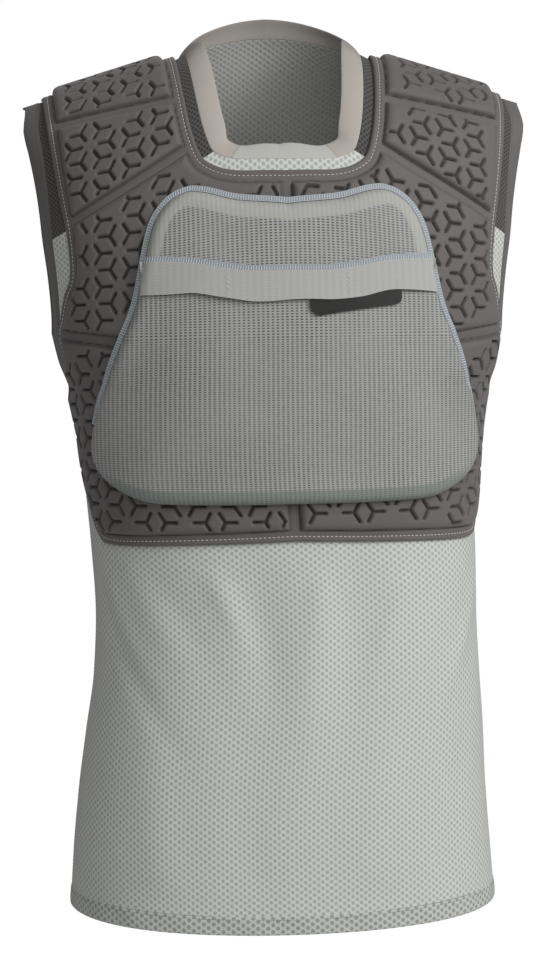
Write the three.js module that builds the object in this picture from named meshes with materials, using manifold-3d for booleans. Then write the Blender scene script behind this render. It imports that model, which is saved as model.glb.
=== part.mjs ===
// Roost deflector: a sleeveless mesh vest with an embossed foam panel over the chest and
// shoulders and a mesh pocket on the chest. It is shown as worn, standing open round the
// body. Millimetres, +Z up, the front faces -Y, and the origin is at the height where the
// straps rest on the shoulders.
import * as THREE from "three";
import { mergeVertices } from "three/addons/utils/BufferGeometryUtils.js";
import Module from "manifold-3d";

const wasm = await Module();
wasm.setup();

// Body that the vest is worn on. Levels are heights over the shoulder seat.
const CHEST_LEVEL = -200;
const CHEST_HALF_WIDTH = 180;
const CHEST_FRONT = 118;
const CHEST_BACK = 112;
const CHEST_TO_HEM = 456;
const SHOULDER_HALF_WIDTH = 216;
const SHOULDER_TOP = 13.5;
const SHOULDER_DROP = 43;
const NECK_HALF_WIDTH = 75;
const BACK_NECK_REACH = 50;
const BACK_NECK_TOP = 34;
const BACK_NECK_LEAN = THREE.MathUtils.degToRad(58);
const BACK_NECK_CURVE = 0.62;
const OVAL_FULLNESS = 0.03;

// Walls and clearances
const CLEARANCE = 0.3;
const LAYER_GAP = 0.7;
const PANEL_GAP = 1.0;
const SEAM_GAP = 0.8;
const SHIRT_WALL = 1.5;
const FLANGE_WALL = 2.4;
const PAD_HEIGHT = 4.8;
const PAD_BEVEL = 3;
const PAD_ROOT = 1;
const INSERT_THICKNESS = 6;
const POCKET_WALL = 1.2;
const TRIM_WALL = 1.6;
const LABEL_WALL = 1.4;

// Widths of what is sewn on
const BINDING_WIDTH = 13;
const BINDING_WALL = 2.2;
const NECK_TAPE_WIDTH = 18;
const NECK_TAPE_WALL = 1.5;
const HEM_WIDTH = 14;
const HEM_WALL = 2.4;
const HEM_DIP = 8;
const FLANGE_WIDTH = 9;
const FLANGE_AT_NECK = 7.65;
const HINGE_WIDTH = 8;
const POCKET_SLOPE = 7;
const POCKET_TRIM_WIDTH = 4;
const EDGE_SEAM_SHARE = 0.74;
const BAND_SEAM_WIDTH = 5;
const BAND_LAP = 9;
const LABEL_WIDTH = 68;
const LABEL_HEIGHT = 12;
const LABEL_START = 13;
const LABEL_CORNER = 3.5;

// Outlines on the flat pattern
const FRONT_NECK_DROP = 138;
const ARMHOLE_HEIGHT = 289;
const ARMHOLE_INSET = 41;
const PANEL_HALF_WIDTH = 193;
const PANEL_FOOT = -363;
const SHOULDER_LAP = 14;
const LAP_CORNER = 5.6;
const YOKE_LAP = 18;
const BACK_YOKE_INSET = 4;
const YOKE_SEAM_NECK = -72;
const YOKE_SEAM_ARM = -118;
const POCKET_HALF_WIDTH = 154;
const POCKET_TOP = -100;
const POCKET_HEIGHT = 229;
const SIDE_SHARE = 0.945;

// Facets: the side of a cell of the form, and the steps of curves and rings
const CELL = 33;
const RING_STEPS = 120;
const HEM_STEPS = 40;
const ARMHOLE_STEPS = 15;
const NECK_STEPS = 9;
const PANEL_ARM_STEPS = 13;
const PANEL_FOOT_STEPS = 9;
const NORMAL_STEP = 2;

// Torso from the chest level down: shares of the drop to the hem, and of the chest's sizes
const TORSO_ROWS = [
  { drop: 0.0, side: 1, front: 1.0, back: 1.0, sway: 0 },
  { drop: 0.048, side: 0.956, front: 0.992, back: 0.982, sway: 0 },
  { drop: 0.095, side: 0.901, front: 0.983, back: 0.964, sway: 0 },
  { drop: 0.2, side: 0.866, front: 0.95, back: 0.893, sway: 0.3 },
  { drop: 0.286, side: 0.85, front: 0.915, back: 0.84, sway: 2.1 },
  { drop: 0.372, side: 0.845, front: 0.89, back: 0.804, sway: 4.4 },
  { drop: 0.485, side: 0.839, front: 0.873, back: 0.804, sway: 6 },
  { drop: 0.589, side: 0.85, front: 0.881, back: 0.848, sway: 5.7 },
  { drop: 0.693, side: 0.877, front: 0.898, back: 0.911, sway: 3.5 },
  { drop: 0.797, side: 0.9, front: 0.924, back: 0.964, sway: 0.9 },
  { drop: 0.9, side: 0.922, front: 0.949, back: 0.991, sway: 0 },
  { drop: 1.0, side: 0.94, front: 0.966, back: 1.009, sway: 0 },
];

// Half width from the chest level up to the shoulder line: shares of that way, and of the
// shoulder's half width less the chest's
const SHOULDER_ROWS = [
  { rise: 0, side: 0 },
  { rise: 0.08, side: 0.05 },
  { rise: 0.2, side: 0.155 },
  { rise: 0.32, side: 0.29 },
  { rise: 0.435, side: 0.4 },
  { rise: 0.55, side: 0.555 },
  { rise: 0.67, side: 0.77 },
  { rise: 0.74, side: 0.91 },
  { rise: 0.8, side: 0.985 },
  { rise: 1, side: 1 },
];

// Soft folds of the shirt: place as shares of the chest's half width and of the drop to the
// hem, turn from upright in degrees, and length, width and height as shares of the half width
const FOLD_ROWS = [
  { across: -0.62, drop: 0.47, turn: 38, length: 0.42, width: 0.085, height: 0.017 },
  { across: -0.47, drop: 0.52, turn: 30, length: 0.4, width: 0.09, height: -0.017 },
  { across: -0.15, drop: 0.52, turn: 8, length: 0.34, width: 0.11, height: -0.02 },
  { across: 0.24, drop: 0.51, turn: -6, length: 0.34, width: 0.11, height: -0.019 },
  { across: 0.62, drop: 0.5, turn: -32, length: 0.4, width: 0.1, height: 0.014 },
  { across: 0.03, drop: 0.6, turn: 0, length: 0.4, width: 0.13, height: 0.014 },
];

// Neck seam from the centre front to the shoulder: shares of the neck's half width and drop
const NECK_ROWS = [
  { across: 0.0, rise: 0.0 },
  { across: 0.46, rise: 0.018 },
  { across: 0.7, rise: 0.075 },
  { across: 0.79, rise: 0.16 },
  { across: 0.87, rise: 0.36 },
  { across: 0.935, rise: 0.68 },
  { across: 0.96, rise: 1.0 },
];

// Lean of the neck tape from its seam to its free edge, from the centre front to the centre
// back of the neck: shares of the tape's width
const TAPE_ROWS = [
  { along: 0.0, inward: 0.0, rearward: 0.64, up: 0.66 },
  { along: 0.17, inward: 0.55, rearward: 0.5, up: 0.55 },
  { along: 0.27, inward: 0.92, rearward: 0.2, up: 0.32 },
  { along: 0.45, inward: 0.94, rearward: 0.15, up: 0.3 },
  { along: 0.6, inward: 0.78, rearward: 0.3, up: 0.6 },
  { along: 0.78, inward: 0.35, rearward: 0.0, up: 0.8 },
  { along: 1.0, inward: 0.0, rearward: -0.25, up: 0.86 },
];

// Armhole edge from the shoulder to the underarm: shares of the armhole's height and inset
const ARMHOLE_ROWS = [
  { rise: 1.0, inset: 0.49 },
  { rise: 0.75, inset: 0.87 },
  { rise: 0.415, inset: 1.0 },
  { rise: 0.19, inset: 0.92 },
  { rise: 0.09, inset: 0.68 },
  { rise: 0.024, inset: 0.34 },
  { rise: 0.0, inset: 0.0 },
];

// Foam panel beside the armhole, from the shoulder down: shares of the armhole's height, and
// gaps to the binding as shares of the binding's width
const PANEL_ARM_ROWS = [
  { rise: 1.0, gap: 0.3 },
  { rise: 0.87, gap: 0.3 },
  { rise: 0.72, gap: 0.62 },
  { rise: 0.54, gap: 0.96 },
  { rise: 0.42, gap: 1.42 },
  { rise: 0.335, gap: 1.53 },
  { rise: 0.28, gap: 1.41 },
  { rise: 0.235, gap: 0.85 },
  { rise: 0.17, gap: 0.4 },
];

// Foot of the foam panel, from the side to the centre: shares of the panel's half width and
// of its reach from the underarm to its foot
const PANEL_FOOT_ROWS = [
  { across: 1.03, rise: 0.66 },
  { across: 1.0, rise: 0.4 },
  { across: 0.945, rise: 0.2 },
  { across: 0.87, rise: 0.045 },
  { across: 0.78, rise: 0.0 },
  { across: 0.45, rise: 0.01 },
  { across: 0.0, rise: 0.03 },
];

// Hinge lines of the foam panel: shares of the panel's half width and of the armhole's height
const HINGE_ROWS = [
  { fromAcross: 0.3, fromRise: 0.735, toAcross: 1.1, toRise: 0.775 },
  { fromAcross: 0.25, fromRise: 0.63, toAcross: 1.0, toRise: 0.405 },
  { fromAcross: 0.0, fromRise: 0.085, toAcross: 0.67, toRise: 0.105 },
  { fromAcross: 0.65, fromRise: 0.104, toAcross: 1.2, toRise: 0.145 },
];

// Pocket outline from the centre top round to the centre foot: shares of its half width and
// height
const POCKET_ROWS = [
  { across: 0.0, drop: 0.074 },
  { across: 0.24, drop: 0.054 },
  { across: 0.4, drop: 0.015 },
  { across: 0.49, drop: 0.0 },
  { across: 0.57, drop: 0.018 },
  { across: 0.63, drop: 0.06 },
  { across: 0.667, drop: 0.118 },
  { across: 0.7, drop: 0.218 },
  { across: 0.747, drop: 0.354 },
  { across: 0.838, drop: 0.489 },
  { across: 0.929, drop: 0.636 },
  { across: 0.99, drop: 0.755 },
  { across: 1.0, drop: 0.834 },
  { across: 0.961, drop: 0.891 },
  { across: 0.883, drop: 0.939 },
  { across: 0.766, drop: 0.978 },
  { across: 0.636, drop: 0.996 },
  { across: 0.3, drop: 1.0 },
  { across: 0.0, drop: 1.0 },
];

// Upper and lower edges of the elastic band over the pocket's mouth
const BAND_ROWS = [
  { across: 0.0, seam: 0.258, foot: 0.342 },
  { across: 0.16, seam: 0.257, foot: 0.344 },
  { across: 0.32, seam: 0.242, foot: 0.332 },
  { across: 0.5, seam: 0.214, foot: 0.309 },
  { across: 0.72, seam: 0.198, foot: 0.309 },
];

const COLOURS = {
  shirt: 0xb0b2ab,
  hem: 0x9fa29c,
  yoke: 0x55524f,
  foam: 0x5a5756,
  pocket: 0x8b8c8b,
  band: 0xa3a3a1,
  trim: 0xa8adb2,
  insert: 0x77787a,
  label: 0x2b2b29,
  tape: 0xa8a29a,
  binding: 0x4b4948,
};

// Value of a table's column where another column has a given value, on a smooth curve that
// doesn't overshoot the rows
function readTable(rows, key, name, at) {
  const last = rows.length - 1;
  let row = 0;
  while (row < last - 1 && at > rows[row + 1][key]) row += 1;
  const slope = (k) => (rows[k + 1][name] - rows[k][name]) / (rows[k + 1][key] - rows[k][key]);
  const tangent = (k) => {
    if (k === 0) return slope(0);
    if (k === last) return slope(last - 1);
    const product = slope(k - 1) * slope(k);
    return product > 0 ? (2 * product) / (slope(k - 1) + slope(k)) : 0;
  };
  const span = rows[row + 1][key] - rows[row][key];
  const t = THREE.MathUtils.clamp((at - rows[row][key]) / span, 0, 1);
  const start = rows[row][name] * (1 + 2 * t) * (1 - t) ** 2 + span * tangent(row) * t * (1 - t) ** 2;
  const end = rows[row + 1][name] * t * t * (3 - 2 * t) + span * tangent(row + 1) * t * t * (t - 1);
  return start + end;
}

// Height of the shoulder line, and of the back neckline, beside the centre line
function shoulderHeight(across) {
  const away = Math.abs(across);
  if (away > NECK_HALF_WIDTH) {
    const share = (away - NECK_HALF_WIDTH) / (SHOULDER_HALF_WIDTH - NECK_HALF_WIDTH);
    return SHOULDER_TOP - SHOULDER_DROP * share;
  }
  return SHOULDER_TOP + (BACK_NECK_TOP - SHOULDER_TOP) * (1 - (away / NECK_HALF_WIDTH) ** 2);
}

// Length along the body from the chest level up to the shoulder line: a quarter ellipse
const ARCH_STEPS = 96;
const archLengths = [0];
for (let i = 1; i <= ARCH_STEPS; i += 1) {
  const angle = ((i - 0.5) / ARCH_STEPS) * (Math.PI / 2);
  const step = Math.hypot(CHEST_LEVEL * Math.cos(angle), CHEST_FRONT * Math.sin(angle));
  archLengths.push(archLengths[i - 1] + (step * Math.PI) / 2 / ARCH_STEPS);
}
const ARCH = archLengths[ARCH_STEPS];
const TOP = CHEST_LEVEL + ARCH;
const UNDERARM = TOP - ARMHOLE_HEIGHT;
const HEM = CHEST_LEVEL - CHEST_TO_HEM;

// Place of a length in a rising list of lengths, as a share of the list
function shareAt(lengths, length) {
  const last = lengths.length - 1;
  let low = 0;
  let high = last;
  while (high - low > 1) {
    const middle = (low + high) >> 1;
    if (lengths[middle] > length) high = middle;
    else low = middle;
  }
  const part = (length - lengths[low]) / (lengths[high] - lengths[low]);
  return (low + THREE.MathUtils.clamp(part, 0, 1)) / last;
}

// Height of the folds at a place on the body
function foldHeight(across, level) {
  let height = 0;
  for (const fold of FOLD_ROWS) {
    const x = across - fold.across * CHEST_HALF_WIDTH;
    const y = level - (CHEST_LEVEL - fold.drop * CHEST_TO_HEM);
    const turn = THREE.MathUtils.degToRad(fold.turn);
    const along = (y * Math.cos(turn) - x * Math.sin(turn)) / (fold.length * CHEST_HALF_WIDTH);
    const beside = (x * Math.cos(turn) + y * Math.sin(turn)) / (fold.width * CHEST_HALF_WIDTH);
    height += fold.height * CHEST_HALF_WIDTH * Math.exp(-along * along - beside * beside);
  }
  return height;
}

// Point of the body at an angle from the centre front and at a level of the flat pattern
function surface(angle, level) {
  const side = (Math.sin(angle) + OVAL_FULLNESS * Math.sin(3 * angle)) / (1 - OVAL_FULLNESS);
  const front = (Math.cos(angle) - OVAL_FULLNESS * Math.cos(3 * angle)) / (1 - OVAL_FULLNESS);
  const drop = Math.max(0, (CHEST_LEVEL - level) / CHEST_TO_HEM);
  const depth = front > 0
    ? CHEST_FRONT * readTable(TORSO_ROWS, "drop", "front", drop)
    : CHEST_BACK * readTable(TORSO_ROWS, "drop", "back", drop);
  if (level <= CHEST_LEVEL) {
    const halfWidth = CHEST_HALF_WIDTH * readTable(TORSO_ROWS, "drop", "side", drop);
    const x = halfWidth * side;
    const fold = front > 0 ? foldHeight(x, level) : 0;
    const sway = readTable(TORSO_ROWS, "drop", "sway", drop);
    return new THREE.Vector3(x + sway, -(depth + fold) * front, level);
  }
  const rise = Math.min(1, (level - CHEST_LEVEL) / ARCH);
  const widening = (SHOULDER_HALF_WIDTH - CHEST_HALF_WIDTH) * readTable(SHOULDER_ROWS, "rise", "side", rise);
  const x = (CHEST_HALF_WIDTH + widening) * side;
  const beside = Math.min(1, Math.abs(x) / NECK_HALF_WIDTH);
  const top = front < 0 ? BACK_NECK_REACH * (1 - beside * beside) ** BACK_NECK_CURVE : 0;
  const lean = front < 0 ? BACK_NECK_LEAN + (Math.PI / 2 - BACK_NECK_LEAN) * beside * beside : Math.PI / 2;
  const turn = shareAt(archLengths, rise * ARCH) * lean;
  const base = -depth * front;
  const y = base + ((top - base) * (1 - Math.cos(turn))) / (1 - Math.cos(lean));
  const z = CHEST_LEVEL + ((shoulderHeight(x) - CHEST_LEVEL) * Math.sin(turn)) / Math.sin(lean);
  return new THREE.Vector3(x, y, z);
}

// Lengths round the body from the centre front to the centre back at a level
const rings = new Map();
function ringAt(level) {
  if (!rings.has(level)) {
    const lengths = [0];
    let before = surface(0, level);
    for (let i = 1; i <= RING_STEPS; i += 1) {
      const point = surface((Math.PI * i) / RING_STEPS, level);
      lengths.push(lengths[i - 1] + point.distanceTo(before));
      before = point;
    }
    rings.set(level, lengths);
  }
  return rings.get(level);
}

const angleAt = (length, level) => shareAt(ringAt(level), length) * Math.PI;
const sideLength = (level) => ringAt(level)[RING_STEPS / 2];
const halfLength = (level) => ringAt(level)[RING_STEPS];
const backSideLength = (level) => halfLength(level) - sideLength(level);

// Front pattern: across is the length round the body from the centre front. Over the
// shoulder line the pattern runs on down the back.
function frontPlace(across, up) {
  const length = Math.abs(across);
  const level = up > TOP ? 2 * TOP - up : up;
  const round = up > TOP ? sideLength(level) + sideLength(TOP) - length : length;
  return surface(Math.sign(across) * angleAt(round, level), level);
}

// Back pattern, as seen from behind: across is the length round from the centre back
function backPlace(across, up) {
  const angle = angleAt(halfLength(up) - Math.abs(across), up);
  return surface(across > 0 ? -angle : angle, up);
}

// Maps the flat pattern and a height over it onto the body, flat across each facet
function facetedMap(place) {
  const corners = new Map();
  const corner = (column, row) => {
    const key = column + "," + row;
    if (!corners.has(key)) {
      const across = column * CELL;
      const up = TOP + row * CELL;
      const alongX = place(across + NORMAL_STEP, up).sub(place(across - NORMAL_STEP, up));
      const alongY = place(across, up + NORMAL_STEP).sub(place(across, up - NORMAL_STEP));
      const normal = alongX.cross(alongY).normalize();
      corners.set(key, { point: place(across, up), normal });
    }
    return corners.get(key);
  };
  return (across, up, out) => {
    const sign = across < 0 ? -1 : 1;
    const column = Math.floor(Math.abs(across) / CELL + 1e-6);
    const row = Math.floor((up - TOP) / CELL + 1e-6);
    const x = Math.abs(across) / CELL - column;
    const y = (up - TOP) / CELL - row;
    const near = corner(sign * column, row);
    const far = corner(sign * (column + 1), row + 1);
    const turn = x > y ? corner(sign * (column + 1), row) : corner(sign * column, row + 1);
    const result = new THREE.Vector3();
    const shares = [
      [near, 1 - Math.max(x, y)],
      [turn, Math.abs(x - y)],
      [far, Math.min(x, y)],
    ];
    for (const [at, share] of shares) {
      result.addScaledVector(at.point, share).addScaledVector(at.normal, share * out);
    }
    return result;
  };
}

const onFront = facetedMap(frontPlace);
const onBack = facetedMap(backPlace);

// Solid of a closed geometry, for joins and cuts. Each triangle keeps a number of its own,
// so that flat neighbours aren't merged before they are laid on the body.
function solid(geometry) {
  const plain = geometry.clone();
  plain.deleteAttribute("normal");
  plain.deleteAttribute("uv");
  const merged = mergeVertices(plain, 1e-4);
  return new wasm.Manifold(
    new wasm.Mesh({
      numProp: 3,
      vertProperties: new Float32Array(merged.attributes.position.array),
      triVerts: new Uint32Array(merged.index.array),
      faceID: Uint32Array.from({ length: merged.index.count / 3 }, (_, i) => i),
    }),
  );
}

// Flat slab whose two faces are cut into the cells of the form
const SLAB_COLUMNS = Math.ceil((1.1 * sideLength(TOP)) / CELL) + 1;
const SLAB_ROWS_DOWN = Math.ceil((TOP - HEM) / CELL) + 1;
const SLAB_ROWS_UP = 1;
function cellSlab(inner, outer) {
  const positions = [];
  const indices = [];
  const width = 2 * SLAB_COLUMNS + 1;
  const vertex = (column, row, layer) =>
    ((row + SLAB_ROWS_DOWN) * width + column + SLAB_COLUMNS) * 2 + layer;
  for (let row = -SLAB_ROWS_DOWN; row <= SLAB_ROWS_UP; row += 1) {
    for (let column = -SLAB_COLUMNS; column <= SLAB_COLUMNS; column += 1) {
      positions.push(column * CELL, TOP + row * CELL, inner);
      positions.push(column * CELL, TOP + row * CELL, outer);
    }
  }
  const addQuad = (a, b, c, d) => indices.push(a, b, c, a, c, d);
  for (let row = -SLAB_ROWS_DOWN; row < SLAB_ROWS_UP; row += 1) {
    for (let column = -SLAB_COLUMNS; column < SLAB_COLUMNS; column += 1) {
      const low = [column, column + 1, column + 1, column];
      const high = [row, row, row + 1, row + 1];
      const ring = low.map((c, k) => [c, high[k]]);
      if (column < 0) ring.push(ring.shift());
      addQuad(...ring.map(([c, r]) => vertex(c, r, 1)));
      ring.reverse();
      if (column < 0) ring.unshift(ring.pop());
      if (column >= 0) ring.unshift(ring.pop());
      addQuad(...ring.map(([c, r]) => vertex(c, r, 0)));
    }
  }
  for (let row = -SLAB_ROWS_DOWN; row < SLAB_ROWS_UP; row += 1) {
    const [left, right] = [-SLAB_COLUMNS, SLAB_COLUMNS];
    const wall = [[row, 0], [row + 1, 0], [row + 1, 1], [row, 1]];
    addQuad(...wall.map(([r, layer]) => vertex(right, r, layer)));
    addQuad(...wall.reverse().map(([r, layer]) => vertex(left, r, layer)));
  }
  for (let column = -SLAB_COLUMNS; column < SLAB_COLUMNS; column += 1) {
    const [foot, head] = [-SLAB_ROWS_DOWN, SLAB_ROWS_UP];
    const wall = [[column, 0], [column + 1, 0], [column + 1, 1], [column, 1]];
    addQuad(...wall.map(([c, layer]) => vertex(c, foot, layer)));
    addQuad(...wall.reverse().map(([c, layer]) => vertex(c, head, layer)));
  }
  const geometry = new THREE.BufferGeometry();
  geometry.setAttribute("position", new THREE.Float32BufferAttribute(positions, 3));
  geometry.setIndex(indices);
  return solid(geometry);
}

// Points that lie apart from the one before
const MIN_EDGE = 2;
function spaced(points) {
  const kept = [];
  for (const point of points) {
    if (!kept.length || point.distanceTo(kept[kept.length - 1]) > MIN_EDGE) kept.push(point);
  }
  return kept;
}

// Closed shape from the points of its right half, listed from the top centre to the foot
function mirroredShape(points) {
  const right = spaced(points);
  const left = right.filter((p) => p.x > CLEARANCE).map((p) => new THREE.Vector2(-p.x, p.y));
  return new THREE.Shape([...right, ...left.reverse()]);
}

// Distance from a point to a stretch between two points
function distanceToEdge(point, start, end) {
  const along = end.clone().sub(start);
  const share = point.clone().sub(start).dot(along) / along.lengthSq();
  return start.clone().addScaledVector(along, THREE.MathUtils.clamp(share, 0, 1)).distanceTo(point);
}

// Shape moved in by a distance. Points that the move would turn over are dropped.
function insetShape(shape, distance) {
  const points = shape.getPoints();
  const side = THREE.ShapeUtils.isClockWise(points) ? -1 : 1;
  const next = (i, step) => points[(i + step + points.length) % points.length];
  const inward = (from, to) => {
    const along = to.clone().sub(from).normalize();
    return new THREE.Vector2(-along.y * side, along.x * side);
  };
  const moved = points.map((point, i) => {
    const after = inward(point, next(i, 1));
    const middle = inward(next(i, -1), point).add(after).normalize();
    return point.clone().addScaledVector(middle, distance / Math.max(0.5, middle.dot(after)));
  });
  const kept = moved.filter((point) =>
    points.every((corner, i) => distanceToEdge(point, corner, next(i, 1)) > 0.985 * distance),
  );
  return new THREE.Shape(spaced(kept));
}

// Block of a flat shape between two heights. With a slope, its sides lean in by that much at
// the upper height.
const BLOCK_MARGIN = 1;
function block(shape, inner, outer, slope = 0) {
  const beyond = (outer - inner + BLOCK_MARGIN) / (outer - inner);
  const geometry = new THREE.ExtrudeGeometry(shape, {
    depth: slope > 0 ? BLOCK_MARGIN : outer - inner + 2 * BLOCK_MARGIN,
    bevelEnabled: slope > 0,
    bevelThickness: (outer - inner) * beyond,
    bevelSize: slope * beyond,
    bevelOffset: -slope * beyond,
    bevelSegments: 1,
  });
  geometry.translate(0, 0, inner - BLOCK_MARGIN);
  return solid(geometry);
}

// Sheet of the form between two heights, cut by a block
const sheet = (shape, inner, outer, slope) =>
  cellSlab(inner, outer).intersect(block(shape, inner, outer, slope));

// Geometry of a flat solid laid on the body
function wrapped(flat, map) {
  const mesh = flat.getMesh();
  const stride = mesh.numProp;
  const positions = [];
  for (let i = 0; i < mesh.numVert; i += 1) {
    const [across, up, out] = mesh.vertProperties.subarray(i * stride, i * stride + 3);
    positions.push(...map(across, up, out));
  }
  const geometry = new THREE.BufferGeometry();
  geometry.setAttribute("position", new THREE.Float32BufferAttribute(positions, 3));
  geometry.setIndex([...mesh.triVerts]);
  geometry.computeVertexNormals();
  return geometry;
}

// Closed ring through sections, each a loop of the same number of points
function ringGeometry(sections) {
  const positions = [];
  const indices = [];
  const count = sections[0].length;
  for (const section of sections) {
    for (const point of section) positions.push(...point);
  }
  for (let i = 0; i < sections.length; i += 1) {
    const next = (i + 1) % sections.length;
    for (let k = 0; k < count; k += 1) {
      const after = (k + 1) % count;
      const corners = [i * count + k, i * count + after, next * count + after, next * count + k];
      indices.push(corners[0], corners[1], corners[2], corners[0], corners[2], corners[3]);
    }
  }
  const geometry = new THREE.BufferGeometry();
  geometry.setAttribute("position", new THREE.Float32BufferAttribute(positions, 3));
  geometry.setIndex(indices);
  geometry.computeVertexNormals();
  return geometry;
}

const vest = new THREE.Group();
vest.name = "roost_deflector";
function addPiece(name, geometry, colour, roughness) {
  const material = new THREE.MeshStandardMaterial({ color: colour, roughness, metalness: 0 });
  const piece = new THREE.Mesh(geometry, material);
  piece.name = name;
  vest.add(piece);
}

// Armhole edge moved into the cloth by an offset, from the shoulder to the underarm, as
// lengths in from the side line and levels
function armholeLine(offset) {
  const curve = new THREE.SplineCurve(
    ARMHOLE_ROWS.map(
      (row) => new THREE.Vector2(row.inset * ARMHOLE_INSET, UNDERARM + row.rise * ARMHOLE_HEIGHT),
    ),
  );
  const line = [];
  for (let i = 0; i <= ARMHOLE_STEPS; i += 1) {
    const share = i / ARMHOLE_STEPS;
    const point = curve.getPoint(share);
    const along = i === ARMHOLE_STEPS ? new THREE.Vector2(-1, 0) : curve.getTangent(share);
    if (i === 0) along.set(0, -1);
    line.push(new THREE.Vector2(point.x - along.y * offset, point.y + along.x * offset));
  }
  return line;
}

const armholeCut = armholeLine(BINDING_WIDTH + SEAM_GAP);
const alongArmhole = (side) => (p) =>
  new THREE.Vector2(side(p.y) - Math.max(p.x, SEAM_GAP), p.y);
const frontArmhole = armholeCut.map(alongArmhole(sideLength));
const backArmhole = armholeCut.map(alongArmhole(backSideLength));

// Neck seam moved outwards by an offset, from the centre front to the shoulder
function neckLine(offset) {
  const curve = new THREE.SplineCurve(
    NECK_ROWS.map(
      (row) =>
        new THREE.Vector2(
          row.across * NECK_HALF_WIDTH,
          TOP - FRONT_NECK_DROP + row.rise * FRONT_NECK_DROP,
        ),
    ),
  );
  const line = [];
  for (let i = 0; i <= NECK_STEPS; i += 1) {
    const share = i / NECK_STEPS;
    const point = curve.getPoint(share);
    const along = curve.getTangent(share);
    if (i === 0) along.set(1, 0);
    if (i === NECK_STEPS) along.set(0, 1);
    line.push(new THREE.Vector2(point.x + along.y * offset, point.y - along.x * offset));
  }
  return line;
}

// Points down the side line between two levels
function sideLine(from, to) {
  const steps = Math.ceil((2 * (from - to)) / CELL);
  const line = [];
  for (let i = 0; i <= steps; i += 1) {
    const level = from + ((to - from) * i) / steps;
    line.push(new THREE.Vector2(sideLength(level), level));
  }
  return line;
}

// Level of the hem's seam or edge at an angle round the body: the front dips
const hemLevel = (angle, raise) => HEM + raise - HEM_DIP * Math.max(0, Math.cos(angle)) ** 2;

const HEM_SEAM_GAP = SEAM_GAP + CLEARANCE;
function hemSeam(side, dips) {
  const line = [];
  const steps = 8;
  for (let i = 0; i <= steps; i += 1) {
    const across = side(HEM + HEM_WIDTH) * (1 - i / steps);
    const angle = dips ? ((1 - i / steps) * Math.PI) / 2 : Math.PI;
    line.push(new THREE.Vector2(across, hemLevel(angle, HEM_WIDTH + HEM_SEAM_GAP)));
  }
  return line;
}

// Shirt front: light mesh from the neck and the yoke seams down to the hem
const neckEdge = neckLine(SEAM_GAP);
const frontNeck = neckEdge.filter((p) => p.y < YOKE_SEAM_NECK - MIN_EDGE);
const yokeNeck = neckEdge.filter((p) => p.y > YOKE_SEAM_NECK + MIN_EDGE);
const frontArm = frontArmhole.filter((p) => p.y < YOKE_SEAM_ARM - MIN_EDGE);
const yokeArm = frontArmhole.filter((p) => p.y > YOKE_SEAM_ARM + MIN_EDGE);

// Point of a line of points at a level
function pointAtLevel(line, level) {
  for (let i = 1; i < line.length; i += 1) {
    const [a, b] = [line[i - 1], line[i]];
    if ((a.y - level) * (b.y - level) <= 0 && a.y !== b.y) {
      return a.clone().lerp(b, (level - a.y) / (b.y - a.y));
    }
  }
  return line[line.length - 1].clone();
}

const seamAtNeck = pointAtLevel(neckEdge, YOKE_SEAM_NECK);
const seamAtArm = pointAtLevel(frontArmhole, YOKE_SEAM_ARM);
const lower = (p, by) => new THREE.Vector2(p.x, p.y - by);

const shirtFrontOutline = mirroredShape([
  ...frontNeck,
  lower(seamAtNeck, CLEARANCE),
  lower(seamAtArm, CLEARANCE),
  ...frontArm,
  ...sideLine(UNDERARM - 2 * BINDING_WIDTH, HEM + HEM_WIDTH + CELL).map(
    (p) => new THREE.Vector2(p.x - SEAM_GAP, p.y),
  ),
  ...hemSeam((level) => sideLength(level) - SEAM_GAP, true),
]);
addPiece("shirt_front", wrapped(sheet(shirtFrontOutline, 0, SHIRT_WALL), onFront), COLOURS.shirt, 0.9);

// Yokes: dark mesh over the shoulders
const overShoulder = (p) =>
  new THREE.Vector2(sideLength(TOP) - p.x - 3 * SEAM_GAP, 2 * TOP - p.y);
const yokeEnd = pointAtLevel(armholeCut, TOP - YOKE_LAP);
const yokeOutline = [
  lower(seamAtNeck, -CLEARANCE),
  ...yokeNeck,
  new THREE.Vector2(yokeNeck[yokeNeck.length - 1].x, TOP + YOKE_LAP),
  overShoulder(yokeEnd),
  ...yokeArm,
  lower(seamAtArm, -CLEARANCE),
];
for (const [name, sign] of [["yoke_left", -1], ["yoke_right", 1]]) {
  const shape = new THREE.Shape(yokeOutline.map((p) => new THREE.Vector2(sign * p.x, p.y)));
  addPiece(name, wrapped(sheet(shape, 0, SHIRT_WALL), onFront), COLOURS.yoke, 0.85);
}

// Shirt back: plain light mesh up to the back neck and to the yokes
const backNeckSide = backSideLength(TOP) - (sideLength(TOP) - yokeNeck[yokeNeck.length - 1].x);
const backYokeSeam = TOP - YOKE_LAP - CLEARANCE;
const backYokeInner = (level) =>
  backSideLength(level) - (sideLength(TOP) - yokeNeck[yokeNeck.length - 1].x) - BACK_YOKE_INSET;
const shirtBackOutline = mirroredShape([
  new THREE.Vector2(0, TOP - SEAM_GAP - NECK_TAPE_WALL),
  new THREE.Vector2(backYokeInner(TOP), TOP - SEAM_GAP - NECK_TAPE_WALL),
  new THREE.Vector2(backYokeInner(backYokeSeam), backYokeSeam),
  pointAtLevel(backArmhole, backYokeSeam),
  ...backArmhole.filter((p) => p.y < backYokeSeam - MIN_EDGE),
  ...sideLine(UNDERARM - 2 * BINDING_WIDTH, HEM + HEM_WIDTH + CELL).map(
    (p) => new THREE.Vector2(backSideLength(p.y) - SEAM_GAP, p.y),
  ),
  ...hemSeam((level) => backSideLength(level) - SEAM_GAP, false),
]);
addPiece("shirt_back", wrapped(sheet(shirtBackOutline, 0, SHIRT_WALL), onBack), COLOURS.shirt, 0.9);

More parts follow.
